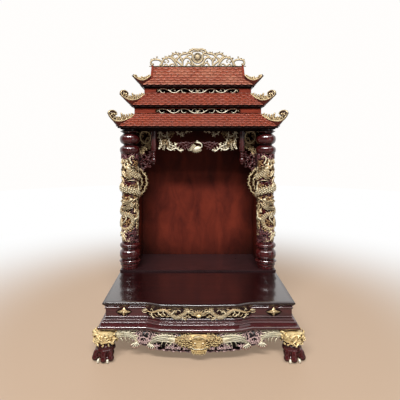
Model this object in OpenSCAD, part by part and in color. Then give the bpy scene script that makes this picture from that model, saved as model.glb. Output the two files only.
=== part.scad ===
// A household shrine of lacquered hardwood: a low platform on four paw feet, and on its back half
// a cabinet with two dragon columns under a roof of three tiled tiers.
// Millimetres. +Z is up, the front faces -Y, and the origin is on the floor below the middle.

/* [Overall] */
// Depth from the mask on the front apron to the flat back
overall_d = 680; // [640:1:760]
// Width of the platform board
platform_w = 747; // [700:1:800]
// Height of the platform's top above the floor
platform_z = 218.6; // [200:0.2:260]
// Smoothness of round shapes
$fn = 64; // [48:8:96]

/* [Platform] */
// Thickness of the platform board
board_t = 12; // [9:1:18]
// Height of the frieze below the board
frieze_h = 53; // [44:1:66]
// How far the frieze stands back from the board's edge
frieze_inset = 11; // [6:1:16]
// Thickness of the case walls
case_t = 18; // [12:1:24]
// Heights of the four steps of the foot moulding, top step first
step_h = [12, 8.5, 12, 9];
// How far each step stands out past the board's edge
step_out = [-6, 2, 8, 15.5];
// Half the width of the bowed middle of the front
bow_half = 205; // [150:1:240]
// Length of each ogee that starts the bow
bow_ease = 62; // [40:1:90]
// How far the ogees bring the front out
bow_step = 16; // [8:1:24]
// How much further the middle of the bow stands out
bow_arc = 8; // [3:1:14]

/* [Legs and aprons] */
// Radius of a paw at the floor
paw_r = 40; // [32:1:42]
// Radius of a toe
toe_r = 13; // [9:0.5:14]
// Radius of the ankle
ankle_r = 36; // [26:1:38]
// Height of the paw's widest part
paw_h = 42; // [34:1:50]
// How far a leg's middle stands in from the platform's side edge
leg_inset = 13; // [8:1:24]
// How far a front leg's middle stands back from the platform's front edge
leg_setback = 4; // [0:1:20]
// Side of the square knee block below the moulding
knee_w = 92; // [76:1:96]
// Height of the knee block
knee_h = 40; // [30:1:44]
// Thickness of an apron
apron_t = 16; // [12:1:20]
// How far an apron's face stands out past the board's edge
apron_out = 8; // [2:1:12]
// Depth of the front apron at its middle
apron_drop = 76; // [56:1:80]
// How far the mask stands out from the apron
mask_t = 13.5; // [8:0.5:18]
// Width of the mask with its mane
mask_w = 196; // [160:1:220]

/* [Cabinet] */
// Thickness of the cabinet's own floor board
floor_t = 8; // [5:1:12]
// Height of the column from floor board to ceiling board
column_h = 674; // [620:1:740]
// Half the distance between the columns' middles
column_x = 333; // [310:1:350]
// Distance from the back of the cabinet to the columns' middles
column_back = 235; // [220:1:260]
// Radius of the shaft under the dragon
shaft_r = 34; // [28:1:38]
// How far the dragon stands out from the shaft
dragon_t = 16; // [10:1:18]
// Largest radius of the turned rings
ring_r = 49.5; // [44:0.5:52]
// Radius of the column's plinth
plinth_r = 41; // [36:1:46]
// Height of the turned foot below the carved shaft
shaft_foot = 130; // [126:1:150]
// Height of the turned head above the carved shaft
shaft_head = 124; // [120:1:140]
// Clear width between the side walls
niche_w = 600; // [560:1:620]
// Thickness of the side walls
wall_t = 18; // [12:1:24]
// Thickness of the back panel
back_t = 18; // [12:1:24]
// Thickness of the fretted brackets beside the columns
bracket_t = 10; // [8:1:14]
// Height of the lintel between the columns
lintel_h = 8; // [6:1:24]
// Thickness of the lintel
lintel_t = 24; // [18:1:30]
// Depth of the carved valance below the lintel
valance_h = 102; // [80:1:112]
// Width of the carved valance
valance_w = 386; // [340:1:400]
// Thickness of the carved valance
valance_t = 12; // [8:1:16]
// Length of a turned pendant below the lintel
pendant_l = 163; // [140:1:180]
// Largest radius of a pendant
pendant_r = 11.5; // [9:0.5:13]

/* [Roof] */
// Half the width of the lowest eave
eave_half = 381; // [360:1:400]
// Horizontal run of each tier's slope, lowest first
run = [70, 57, 41];
// Rise of the slope of the two lower tiers
rise = [71, 71];
// Rise of the top tier from eave to ridge
ridge_rise = 119; // [100:1:130]
// Height of each box wall that shows between two tiers
box_show = [35, 33];
// How far an upper eave stands out past the box below it
eave_lip = 14; // [10:1:20]
// Height of the flat nose of a slope at the eave
nose_h = 9; // [6:1:12]
// Vertical thickness of a slope board
slope_t = 15; // [12:1:18]
// How much a slope hollows towards its eave
flare = 0.32; // [0.1:0.02:0.5]
// Thickness of the deck below each tier
deck_t = 6; // [4:1:8]
// How far a deck stands back from the eave
deck_inset = 12; // [8:1:16]
// Thickness of the boards of the tier boxes
box_t = 14; // [10:1:18]
// Width of the long opening in each box front
vent_w = 420; // [360:1:430]
// Height of the long opening
vent_h = 25; // [18:1:26]
// Thickness of the corner horns
horn_t = 14; // [10:1:16]
// How far each tier's horn tips reach past the eave corner, on each axis
horn_reach = [37, 46, 38];
// Height of the underside of each tier's horn tips above the eave
horn_h = [71, 58, 49];
// Height of the carved fin along each tier's horns
fin_h = [27, 25, 16];
// Lowest point of the hip's curve above the eave
hip_low = 31; // [24:1:36]
// Width of the crest on the ridge
crest_w = 498; // [440:1:510]
// Height of the crest
crest_h = 94; // [80:1:110]
// Thickness of the crest
crest_t = 12; // [8:1:16]

/* [Hidden] */
back_y = overall_d / 2;
half_w = platform_w / 2;
bow = bow_step + bow_arc;
bow_steps = 28;                                // straight lines that make up the bowed edge
front_y = -overall_d / 2 + mask_t + apron_out + bow;   // straight ends of the board's front edge
frieze_top = platform_z - board_t;
frieze_z = frieze_top - frieze_h;
case_z = frieze_z - step_h[0] - step_h[1] - step_h[2] - step_h[3];  // underside of the moulding
step_z = [frieze_z - step_h[0], frieze_z - step_h[0] - step_h[1], case_z + step_h[3], case_z];
floor_z = platform_z + floor_t;
ceiling_z = floor_z + column_h;
column_y = back_y - column_back;
wall_x = niche_w / 2;
panel_y = back_y - back_t;
bracket_x = wall_x + 5;                        // outer edge of the brackets, behind the columns
column_r = max(ring_r, shaft_r + dragon_t) + 1.2;
wall_y = column_y + sqrt(max(0, pow(column_r, 2) - pow(column_x - bracket_x, 2))) + bracket_t;
lintel_z = ceiling_z - lintel_h;
pendant_x = valance_w / 2 + pendant_r * 2;
tiers = [0, 1, 2];
eave_x = [eave_half, eave_half - run[0] + eave_lip, eave_half - run[0] - run[1] + 2 * eave_lip];
box_x = [for (k = tiers) eave_x[k] - run[k]];
box_y = [for (k = tiers) column_y + 1 + (box_x[0] - box_x[k])];
eave_y = [for (k = tiers) box_y[k] - run[k]];
eave_z = [ceiling_z + deck_t,
          ceiling_z + deck_t + rise[0] + box_show[0],
          ceiling_z + deck_t + rise[0] + box_show[0] + rise[1] + box_show[1]];
ridge_y = (eave_y[2] + back_y) / 2;
ridge_run = ridge_y - eave_y[2];
ridge_z = eave_z[2] + ridge_rise;
hip_t = run[2] / ridge_run;                    // share of the top slope that is hipped
vent_z = [for (k = [0, 1]) eave_z[k] + rise[k] + (box_show[k] - deck_t - vent_h) / 2];
clear = 0.3;                                   // gap between a carving and what it wraps
leg_x = half_w - leg_inset;
leg_front_y = front_y + leg_setback;
leg_back_y = back_y - max(knee_w / 2, paw_r + toe_r * 0.65);
knee_z = case_z - knee_h;
slot = horn_t / sqrt(2);                       // half of a horn's slot, measured along an axis
back_hip = run[2] * sqrt(2) - horn_t / 2;      // length of the low hips at the back

function smooth(t) = let (c = max(0, min(1, t))) c * c * (3 - 2 * c);
// How far the bowed front stands out at x
function bow_at(x) = bow_step * smooth((bow_half - abs(x)) / bow_ease)
    + bow_arc * max(0, 1 - pow(x / bow_half, 2));
// Front edge from left to right, standing "out" past the board's edge
function front_edge(half, out) = concat(
    [[-half, front_y - out]],
    [for (i = [0:bow_steps]) let (x = bow_half * (2 * i / bow_steps - 1)) [x, front_y - out - bow_at(x)]],
    [[half, front_y - out]]);
function reversed(list) = [for (i = [len(list) - 1:-1:0]) list[i]];
// Half-round bulge of a turned post between the heights z0 and z1
function bulge(z0, z1, neck, big) = [for (a = [0:22.5:180])
    [neck + (big - neck) * sin(a), z0 + (z1 - z0) * (1 - cos(a)) / 2]];
// Height of a slope's outer face at share t of its run
function slope_at(t, height) = nose_h + (height - nose_h) * (t - flare * t * (1 - t));
function slope_profile(length, height) = concat(
    [[0, 0]],
    [for (i = [0:8]) [length * i / 8, slope_at(i / 8, height)]],
    [for (i = [8:-1:1]) [length * i / 8, max(0, slope_at(i / 8, height) - slope_t)]]);

module mirrored() {
    children();
    mirror([1, 0, 0]) children();
}

// A board whose front follows the bow and whose back is straight
module bowed_slab(half, out, back, z, h) {
    translate([0, 0, z]) linear_extrude(h)
        polygon(concat(front_edge(half, out), [[half, back], [-half, back]]));
}

// A skin of even thickness that follows the bow, cut to the outline its child draws in X and Z
module bowed_carving(half, out, t) {
    intersection() {
        linear_extrude(platform_z)
            polygon(concat(front_edge(half, out), reversed(front_edge(half, out - t))));
        translate([0, back_y, 0]) rotate([90, 0, 0]) linear_extrude(2 * overall_d) children();
    }
}

module platform_board() {
    color("#4a2022")
        bowed_slab(half_w, 0, back_y, frieze_top, board_t);
}

module frieze_front() {
    color("#55251f")
        bowed_slab(half_w - frieze_inset, -frieze_inset, front_y + frieze_inset + case_t, frieze_z, frieze_h);
}

module frieze_sides() {
    y0 = front_y + frieze_inset + case_t;
    color("#55251f") mirrored()
        translate([half_w - frieze_inset - case_t, y0, frieze_z])
            cube([case_t, back_y - case_t - y0, frieze_h]);
}

module frieze_back() {
    color("#55251f")
        translate([-half_w + frieze_inset, back_y - case_t, frieze_z])
            cube([platform_w - 2 * frieze_inset, case_t, frieze_h]);
}

module moulding_front() {
    color("#4f2224") union()
        for (i = [0:3])
            bowed_slab(half_w + step_out[i], step_out[i], front_y + frieze_inset + case_t,
                       step_z[i], step_h[i]);
}

module moulding_sides() {
    y0 = front_y + frieze_inset + case_t;
    x0 = half_w - frieze_inset - case_t;
    color("#4f2224") mirrored() union()
        for (i = [0:3])
            translate([x0, y0, step_z[i]])
                cube([half_w + step_out[i] - x0, back_y - case_t - y0, step_h[i]]);
}

module moulding_back() {
    color("#4f2224") union()
        for (i = [0:3])
            translate([-half_w - step_out[i], back_y - case_t, step_z[i]])
                cube([platform_w + 2 * step_out[i], case_t, step_h[i]]);
}

module bottom_board() {
    x0 = half_w - frieze_inset - case_t;
    y0 = front_y + frieze_inset + case_t;
    color("#2c1512")
        translate([-x0, y0, case_z]) cube([2 * x0, back_y - case_t - y0, board_t]);
}

// A carved paw under a knee block; "turn" is the way the toes point, in degrees from +X
module leg(x, y, turn) {
    color("#5a2624") translate([x, y, 0]) union() {
        translate([-knee_w / 2, -knee_w / 2, knee_z]) cube([knee_w, knee_w, knee_h]);
        translate([0, 0, knee_z - 10]) cylinder(h = 10.5, r1 = ankle_r, r2 = knee_w / 2 - 4);
        cylinder(h = knee_z - 9, r = ankle_r);
        cylinder(h = paw_h, r1 = paw_r, r2 = ankle_r + 1);
        for (a = [-63, -21, 21, 63])
            rotate(turn + a) translate([paw_r - toe_r * 0.35, 0, 0]) {
                translate([0, 0, toe_r]) sphere(r = toe_r);
                cylinder(h = toe_r, r = toe_r * 0.8);
            }
    }
}

// Outline of an apron in X and Z, hanging between two knees whose inner faces are at +-reach
module apron_outline(reach, drop) {
    arch = drop * 0.48;
    // From each knee a short arch, then an ogee down to a lobed edge that is lowest in the middle
    lobes = 3;
    function edge(t) = t < 0.05 ? arch
        : arch + (drop * 0.95 - arch) * smooth((t - 0.05) / 0.12) + drop * 0.05 * smooth((t - 0.6) / 0.4)
            - (t < 0.17 ? 0 : drop * 0.025 * (1 - cos((t - 0.17) / 0.83 * 360 * lobes)));
    polygon(concat(
        [[-reach, case_z]],
        [for (i = [0:28]) [-reach * (1 - i / 28), case_z - edge(i / 28)]],
        [for (i = [27:-1:0]) [reach * (1 - i / 28), case_z - edge(i / 28)]],
        [[reach, case_z]]));
}

module apron_front() {
    reach = leg_x - knee_w / 2 - clear;
    color("#5a2a26") bowed_carving(reach, apron_out, apron_t)
        difference() {
            apron_outline(reach, apron_drop);
            mirrored() {
                translate([reach - 82, case_z - 30]) circle(r = 10);
                translate([reach - 112, case_z - 17]) circle(r = 9);
                translate([reach - 146, case_z - 44]) circle(r = 9);
            }
        }
}

module apron_sides() {
    front = leg_front_y + knee_w / 2 + clear;
    back = leg_back_y - knee_w / 2 - clear;
    color("#5a2a26") mirrored()
        translate([half_w + apron_out - apron_t, (front + back) / 2, 0])
            rotate([90, 0, 90]) linear_extrude(apron_t)
                apron_outline((back - front) / 2, apron_drop * 0.8);
}

module apron_back() {
    reach = leg_x - knee_w / 2 - clear;
    color("#5a2a26")
        translate([0, back_y, 0]) rotate([90, 0, 0]) linear_extrude(apron_t)
            apron_outline(reach, apron_drop * 0.8);
}

// The beast's face in the middle of the front apron, with its mane to both sides
module apron_mask() {
    back = front_y - apron_out - bow - clear;
    mane_h = apron_drop * 0.42;
    color("#c9a55a") translate([0, back, case_z - mane_h - 4]) rotate([90, 0, 0]) {
        linear_extrude(mask_t * 0.5 - clear)
            polygon([for (a = [0:9:351]) let (r = 0.97 - 0.03 * cos(a * 8))
                [mask_w / 2 * r * cos(a), mane_h * r * sin(a)]]);
        linear_extrude(mask_t - clear)
            polygon([for (a = [0:10:350]) [mask_w * 0.17 * cos(a), apron_drop * (0.5 * sin(a) - 0.04)]]);
    }
}

// Two dragons that face a pearl, as one long openwork band, with a four-petal flower at each end
module frieze_carvings() {
    z = frieze_z + frieze_h * 0.36;
    half = half_w - frieze_inset;
    band = 218;
    color("#d9bd78") bowed_carving(half, 6 - frieze_inset, 6 - clear) union() {
        polygon(concat(
            [for (i = [-26:26]) [i * band / 26, z + 9 * cos(i * 36) + 5 + 3 * cos(i * 7)]],
            [for (i = [26:-1:-26]) [i * band / 26, z + 9 * cos(i * 36) - 6 - 3 * cos(i * 7)]]));
        translate([0, z]) circle(r = 19);
        mirrored() translate([half_w - 82, z])
            polygon([for (a = [0:10:350]) let (r = 0.42 + 0.58 * pow(abs(cos(2 * a)), 1.6))
                [28 * r * cos(a), 18 * r * sin(a)]]);
    }
}

module cabinet_floor() {
    color("#4a2a2c")
        translate([-half_w, column_y - plinth_r - 4, platform_z])
            cube([platform_w, back_y - column_y + plinth_r + 4, floor_t]);
}

// A turned column: stepped foot, ball, carved shaft, two balls and a capital
module column() {
    h = column_h;
    waist = shaft_r + 4;      // between the foot and its ball
    neck = shaft_r - 4;       // between the balls at the head
    profile = concat(
        [[0, 0], [plinth_r, 0], [plinth_r, 14], [plinth_r + 4, 17], [plinth_r + 4, 24],
         [ring_r + 2, 33], [ring_r + 2, 37], [waist, 44]],
        bulge(46, 92, waist, ring_r),
        [[waist, 94], [ring_r - 1, 112], [ring_r - 1, 118], [shaft_r, shaft_foot], [shaft_r, h - shaft_head]],
        bulge(h - shaft_head + 2, h - 77, neck, ring_r),
        bulge(h - 72, h - 21, neck, ring_r),
        [[shaft_r, h - 18], [ring_r - 3, h - 11], [ring_r - 3, h - 7], [waist, h - 4], [waist, h], [0, h]]);
    color("#5a2424") translate([0, 0, floor_z]) rotate_extrude() polygon(profile);
}

// The dragon's body as a band that climbs round the shaft; "way" is 1 or -1
module dragon(way) {
    r0 = shaft_r + 2 * clear;
    turns = 3.1;
    low = floor_z + shaft_foot + 2;
    high = floor_z + column_h - shaft_head - 2;
    rings = 78;
    sides = 6;
    // The body is widest in the middle of its length and thins to the tail
    function girth(t) = 10 + 18 * sin(180 * min(1, 0.12 + 0.8 * t));
    function height(t) = dragon_t * (0.34 + 0.66 * sin(180 * min(1, 0.12 + 0.8 * t)));
    function place(t, j) = let (
        a = way * 360 * turns * t + 90,
        w = girth(t),
        z = low + w + (high - low - w - 30) * t,
        c = [[1, 0], [0.8, 0.75], [0, 1], [0, 0], [0, -1], [0.8, -0.75]][j],
        r = r0 + height(t) * c[0])
        [r * cos(a), r * sin(a), z + w * c[1]];
    points = [for (i = [0:rings], j = [0:sides - 1]) place(i / rings, j)];
    around = [for (i = [0:rings - 1], j = [0:sides - 1], half = [0, 1]) let (
        a = i * sides + j, b = i * sides + (j + 1) % sides)
        half == 0 ? [a, b, b + sides] : [a, b + sides, a + sides]];
    first = [for (j = [1:sides - 2]) [0, j + 1, j]];
    last = [for (j = [1:sides - 2]) [rings * sides, rings * sides + j, rings * sides + j + 1]];
    faces = concat(around, first, last);
    color("#cfae66") polyhedron(points = points,
        faces = [for (f = faces) way > 0 ? f : [f[2], f[1], f[0]]]);
}

// A fretted bracket from the ceiling down the front edge of each side wall
module column_brackets() {
    outer = bracket_x;
    wide = outer - pendant_x - pendant_r - 2;
    low = floor_z + 100;
    top = ceiling_z;
    strip = 12;
    loops = 0.43;   // share of the height below the two loops
    cloud = 0.67;   // and below the clouds
    head = 0.82;    // and below the wide head
    function z_at(t) = low + (top - low) * t;
    // Width of the bracket at share t of its height
    function inner_at(t) = t > head ? wide
        : t > cloud ? wide * 0.72
        : t > loops ? strip + wide * 0.6 * abs(sin(360 * (t - loops) / (cloud - loops)))
        : strip;
    color("#6b3a2a") mirrored()
        translate([0, wall_y, 0]) rotate([90, 0, 0]) linear_extrude(bracket_t) difference() {
            polygon(concat(
                [[outer, top], [outer, low]],
                [for (i = [0:40]) [outer - inner_at(i / 40), z_at(i / 40)]]));
            for (t = [0.88, 0.96])
                translate([outer - wide / 2, z_at(t)]) circle(r = 15);
            translate([outer - wide * 0.38, z_at((cloud + head) / 2)]) circle(r = 13);
            for (t = [0.25, 0.75])
                translate([outer - wide * 0.38, z_at(loops + (cloud - loops) * t)]) circle(r = 11);
        }
}

module pendant() {
    r = pendant_r;
    l = pendant_l;
    rotate_extrude() polygon(concat(
        [[0, 0], [r * 0.45, 0], [r * 0.6, 6]],
        bulge(8, 34, r * 0.5, r),
        bulge(37, 50, r * 0.5, r * 0.8),
        bulge(52, 60, r * 0.5, r * 0.7),
        [[r * 0.8, 64], [r * 0.8, l], [0, l]]));
}

module pendants() {
    color("#5a2420") mirrored()
        translate([pendant_x, column_y, lintel_z - pendant_l]) pendant();
}

module lintel() {
    half = column_x - ring_r - 1;
    color("#2a1412")
        translate([-half, column_y - lintel_t / 2, lintel_z]) cube([2 * half, lintel_t, lintel_h]);
}

// Flowering branches round a long oval opening, with a bird in the middle of the lower branch
module valance() {
    h = valance_h;
    half = valance_w / 2;
    color("#8c6a3c")
        translate([0, column_y + valance_t / 2, lintel_z]) rotate([90, 0, 0])
            linear_extrude(valance_t) difference() {
                polygon(concat(
                    [[-half, 0], [-half, -h * 0.8]],
                    [for (i = [-9:9]) [i * half / 10, -h * (0.93 - 0.07 * cos(i * 80))]],
                    [[half, -h * 0.8], [half, 0]]));
                translate([0, -h * 0.42])
                    polygon([for (a = [0:10:350]) [half * 0.64 * cos(a), h * 0.25 * sin(a)]]);
            }
}

module side_walls() {
    color("#4a1f1a") mirrored()
        translate([wall_x, wall_y, floor_z]) cube([wall_t, panel_y - wall_y, column_h]);
}

module back_panel() {
    color("#6e2e22")
        translate([-wall_x - wall_t, panel_y, floor_z]) cube([niche_w + 2 * wall_t, back_t, column_h]);
}

// The flat deck that closes the underside of tier k
module deck(k) {
    x = eave_x[k] - deck_inset;
    y = eave_y[k] + deck_inset;
    color("#35170f") translate([-x, y, eave_z[k] - deck_t]) cube([2 * x, back_y - y, deck_t]);
}

// Front slope of tier k, mitred at the horns' slots
module slope_front(k) {
    top = eave_z[k];
    length = k < 2 ? run[k] : ridge_run;
    height = k < 2 ? rise[k] : ridge_rise;
    y1 = eave_y[k] + length;
    color("#9a4f3c") intersection() {
        translate([-eave_x[k], eave_y[k], top]) rotate([90, 0, 90])
            linear_extrude(2 * eave_x[k]) polygon(slope_profile(length, height));
        translate([0, 0, top - 1]) linear_extrude(height + 2) polygon([
            [-eave_x[k] + slot, eave_y[k]], [eave_x[k] - slot, eave_y[k]],
            [box_x[k] - slot, box_y[k]], [box_x[k] - slot, y1],
            [-box_x[k] + slot, y1], [-box_x[k] + slot, box_y[k]]]);
    }
}

// Side slopes of tier k, which run to the flat back on the two lower tiers
module slope_sides(k) {
    hipped = k == 2;
    height = hipped ? slope_at(hip_t, ridge_rise) : rise[k];
    y0 = eave_y[k] + slot;
    y1 = hipped ? back_y - slot : back_y;
    cut = hipped ? run[k] : 0;
    color("#9a4f3c") mirrored() intersection() {
        translate([eave_x[k], back_y, eave_z[k]]) rotate([90, 0, 0]) mirror([1, 0, 0])
            linear_extrude(back_y - eave_y[k]) polygon(slope_profile(run[k], height));
        translate([0, 0, eave_z[k] - 1]) linear_extrude(height + 2) polygon([
            [eave_x[k], y0], [eave_x[k], y1], [box_x[k], y1 - cut], [box_x[k], y0 + run[k]]]);
    }
}

module upper_slope_back() {
    color("#9a4f3c")
        translate([0, 2 * ridge_y, 0]) mirror([0, 1, 0]) slope_front(2);
}

// Boards that close the ends of the top tier above its hips
module gables() {
    foot = ridge_run - run[2] - 2;
    // Point under the slopes at the distance y from the ridge
    function verge(y) = [y, slope_at(1 - abs(y) / ridge_run, ridge_rise) - 2];
    color("#6e2e22") mirrored()
        translate([box_x[2] - slot, ridge_y, eave_z[2]]) rotate([90, 0, 90]) linear_extrude(slot)
            polygon(concat(
                [[-foot, 0]],
                [for (i = [-8:8]) verge(foot * i / 8)],
                [[foot, 0]]));
}

// Front board of the box that stands on tier k, with its long round-ended opening
module box_front(k) {
    z0 = eave_z[k];
    z1 = eave_z[k + 1] - deck_t;
    straight = vent_w - vent_h;
    color("#7a3226") translate([0, box_y[k] + box_t, 0]) rotate([90, 0, 0])
        linear_extrude(box_t) difference() {
            translate([-box_x[k], z0]) square([2 * box_x[k], z1 - z0]);
            translate([-straight / 2, vent_z[k]]) square([straight, vent_h]);
            mirrored() translate([straight / 2, vent_z[k] + vent_h / 2]) circle(d = vent_h);
        }
}

module box_fronts() {
    for (k = [0, 1]) box_front(k);
}

module box_sides() {
    color("#7a3226") mirrored() for (k = [0, 1])
        translate([box_x[k] - box_t, box_y[k] + box_t, eave_z[k]])
            cube([box_t, back_y - back_t - box_y[k] - box_t, eave_z[k + 1] - deck_t - eave_z[k]]);
}

module box_backs() {
    color("#4a1f1a") for (k = [0, 1])
        translate([-box_x[k], back_y - back_t, eave_z[k]])
            cube([2 * box_x[k], back_t, eave_z[k + 1] - deck_t - eave_z[k]]);
}

// Upturned hip board of tier k: s runs out along the diagonal from the box's corner
module horn(k) {
    tip = (run[k] + horn_reach[k]) * sqrt(2);
    head = k < 2 ? rise[k] : slope_at(hip_t, ridge_rise);
    h = horn_h[k];
    bend = (run[k] - deck_inset) * sqrt(2);
    sag = (run[k] + 4) * sqrt(2);
    // Height of the lower edge, and of the hip's line that the fin stands on
    function under(s) = h * pow(max(0, (s - bend) / (tip - bend)), 1.3);
    function hip(s) = s < sag ? hip_low + (head - hip_low) * pow(1 - s / sag, 2)
        : hip_low + (h - hip_low) * pow((s - sag) / (tip - sag), 2);
    // Height of the fin above the hip's line: nothing at the box, then a row of flames
    function fin(i) = let (s = (tip - 6) * i / 16)
        2 + fin_h[k] * smooth(s / (0.5 * sag)) * (0.88 + 0.12 * cos(i * 180));
    polygon(concat(
        [[0.2, 0]],
        [for (i = [0:8]) let (s = bend + (tip - bend) * i / 8) [s, under(s)]],
        [for (i = [16:-1:0]) let (s = max(0.2, (tip - 6) * i / 16)) [s, hip(s) + fin(i)]]));
}

module corner_horns() {
    color("#b9965a") mirrored() for (k = tiers)
        translate([box_x[k], box_y[k], eave_z[k]]) rotate([0, 0, -45])
            translate([0, horn_t / 2, 0]) rotate([90, 0, 0]) linear_extrude(horn_t) horn(k);
    color("#b9965a") mirrored()
        translate([box_x[2], 2 * ridge_y - box_y[2], eave_z[2]]) rotate([0, 0, 45])
            translate([0, horn_t / 2, 0]) rotate([90, 0, 0]) linear_extrude(horn_t) polygon([
                [0.2, 0], [back_hip - deck_inset, 0], [back_hip, 3], [back_hip, nose_h + 8],
                [0.2, slope_at(hip_t, ridge_rise) + 3]]);
}

// A ribbon that waves from sill to head of each long opening
module scroll_panels() {
    waves = 5;
    half = vent_w / 2 - 6;
    ribbon = 6;
    swing = vent_h / 2 - ribbon / 2 - clear;
    // Middle of the ribbon at i sixtieths of its half length
    function wave(i) = [half * i / 60, swing * cos(i * waves * 3) * cos(i * 1.1)];
    color("#d9c79a") for (k = [0, 1])
        translate([0, box_y[k] + box_t * 0.75, vent_z[k] + vent_h / 2]) rotate([90, 0, 0])
            linear_extrude(box_t / 2) polygon(concat(
                [for (i = [-60:60]) wave(i) + [0, ribbon / 2]],
                [for (i = [60:-1:-60]) wave(i) - [0, ribbon / 2]]));
}

// Openwork crest: a sun in the middle between two running dragons
module crest() {
    half = crest_w / 2;
    h = crest_h;
    // Height of the crest's top edge at share t from the middle to the end
    function edge(t) = t < 0.22 ? h * (0.62 + 0.38 * sqrt(1 - pow(t / 0.22, 2)))
        : t < 0.55 ? h * (0.62 + 0.06 * sin((t - 0.22) / 0.33 * 180))
        : h * (0.62 - 0.3 * smooth((t - 0.55) / 0.3));
    color("#d2b878") translate([0, ridge_y + crest_t / 2, ridge_z]) rotate([90, 0, 0]) linear_extrude(crest_t)
        difference() {
            polygon(concat(
                [[-half, 0]],
                [for (i = [-48:48]) [half * i / 48, edge(abs(i) / 48)]],
                [[half, 0]]));
            // Openings between the scrolls: place along the half width, height and radius
            mirrored() for (o = [[0.24, 0.26, 0.15], [0.40, 0.34, 0.13], [0.56, 0.26, 0.14],
                                 [0.72, 0.18, 0.11], [0.88, 0.13, 0.08]])
                translate([half * o[0], h * o[1]]) circle(r = h * o[2]);
        }
}

platform_board();
frieze_front();
frieze_sides();
frieze_back();
moulding_front();
moulding_sides();
moulding_back();
bottom_board();
apron_front();
apron_sides();
apron_back();
leg(-leg_x, leg_front_y, -135);  // leg_front_left
leg(leg_x, leg_front_y, -45);  // leg_front_right
leg(-leg_x, leg_back_y, 180);  // leg_back_left
leg(leg_x, leg_back_y, 0);  // leg_back_right
apron_mask();
frieze_carvings();
cabinet_floor();
translate([-column_x, column_y, 0]) column();  // column_left
translate([column_x, column_y, 0]) column();  // column_right
translate([-column_x, column_y, 0]) dragon(1);  // dragon_left
translate([column_x, column_y, 0]) dragon(-1);  // dragon_right
column_brackets();
pendants();
valance();
lintel();
side_walls();
back_panel();
deck(0);  // ceiling_board
slope_front(0);  // lower_slope_front
slope_sides(0);  // lower_slope_sides
deck(1);  // middle_deck
slope_front(1);  // middle_slope_front
slope_sides(1);  // middle_slope_sides
deck(2);  // upper_deck
slope_front(2);  // upper_slope_front
slope_sides(2);  // upper_slope_sides
upper_slope_back();
box_fronts();
box_sides();
box_backs();
gables();
corner_horns();
scroll_panels();
crest();
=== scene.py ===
"""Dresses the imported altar: lacquered boards, turned columns, gilded carvings and tiled roofs."""

import logging
import math
import random
from dataclasses import dataclass, field
from enum import Enum
from typing import Callable, Iterable, Optional, Sequence

import bpy
import numpy as np
from mathutils.geometry import tessellate_polygon
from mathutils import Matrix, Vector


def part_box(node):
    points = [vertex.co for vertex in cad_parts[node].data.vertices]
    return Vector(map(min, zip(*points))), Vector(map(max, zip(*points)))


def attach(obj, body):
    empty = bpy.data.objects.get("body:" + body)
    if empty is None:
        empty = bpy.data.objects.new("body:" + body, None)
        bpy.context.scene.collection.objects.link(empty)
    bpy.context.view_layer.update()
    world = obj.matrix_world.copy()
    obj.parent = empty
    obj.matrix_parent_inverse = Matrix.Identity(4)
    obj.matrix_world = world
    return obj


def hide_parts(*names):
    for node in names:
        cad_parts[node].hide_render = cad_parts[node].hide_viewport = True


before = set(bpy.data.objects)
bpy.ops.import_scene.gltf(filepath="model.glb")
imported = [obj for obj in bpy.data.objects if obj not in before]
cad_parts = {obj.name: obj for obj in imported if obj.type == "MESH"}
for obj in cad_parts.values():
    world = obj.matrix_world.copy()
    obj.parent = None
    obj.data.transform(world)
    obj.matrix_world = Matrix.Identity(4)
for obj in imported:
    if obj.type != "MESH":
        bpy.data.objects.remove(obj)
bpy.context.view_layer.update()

LOG = logging.getLogger("altar")
MM = 0.001
TINY = 1e-12
Vec = Sequence[float]
Surface = Callable[[np.ndarray], np.ndarray]


class Slot(Enum):
    """Material slots of the record that the pieces take their finish from."""

    ROSEWOOD = "lacquered_rosewood"
    DARK = "dark_wood"
    ROOF = "roof_wood"
    GILDING = "antique_gilding"


class Grain(Enum):
    """Direction of the wood's grain, as stretch factors on X, Y and Z."""

    UPRIGHT = (1.0, 1.0, 0.07)
    MOTTLED = (1.0, 1.0, 0.4)
    ALONG = (0.07, 1.0, 1.0)
    INWARD = (1.0, 0.07, 1.0)


class Section(Enum):
    """Cross-sections of a carved strand: (across, out), from its left edge over its top."""

    ROUND = ((-1, 0), (-0.74, 0.7), (0, 1), (0.74, 0.7), (1, 0), (0, -0.3))
    LEAF = ((-1, 0), (-0.6, 0.82), (0, 0.35), (0.6, 0.82), (1, 0), (0, -0.3))
    RIDGE = ((-1, 0), (-0.55, 0.3), (0, 1), (0.55, 0.3), (1, 0), (0, -0.3))


class Taper(Enum):
    """How a strand's width runs from its root to its tip."""

    LEAF = "leaf"
    HORN = "horn"
    VINE = "vine"
    EVEN = "even"
    CLUB = "club"

    def along(self, t: np.ndarray) -> np.ndarray:
        """How the width changes along a strand.

        Args:
            t: Shares of the strand's length.

        Returns:
            The width at each, as a share of the full width.
        """
        if self is Taper.LEAF:
            return 0.12 + 0.88 * np.sin(np.pi * np.clip(t * 0.93 + 0.04, 0, 1) ** 0.75)
        if self is Taper.HORN:
            return 0.1 + 0.9 * (1 - t) ** 0.7
        if self is Taper.VINE:
            return 1 - 0.6 * t
        if self is Taper.CLUB:
            return 0.45 + 0.55 * t
        return np.ones_like(t)


# ---------------------------------------------------------------- shapes


def turned(degrees: float) -> tuple[float, float]:
    """Cosine and sine of an angle in degrees."""
    return math.cos(math.radians(degrees)), math.sin(math.radians(degrees))


def heading_of(way: Vec) -> float:
    """Direction of a way on flat ground, in degrees counter-clockwise from the right."""
    return math.degrees(math.atan2(way[1], way[0]))


def unit(rows: np.ndarray) -> np.ndarray:
    """Rows of a table, each brought to length 1."""
    return rows / (np.linalg.norm(rows, axis=1, keepdims=True) + TINY)


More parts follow.
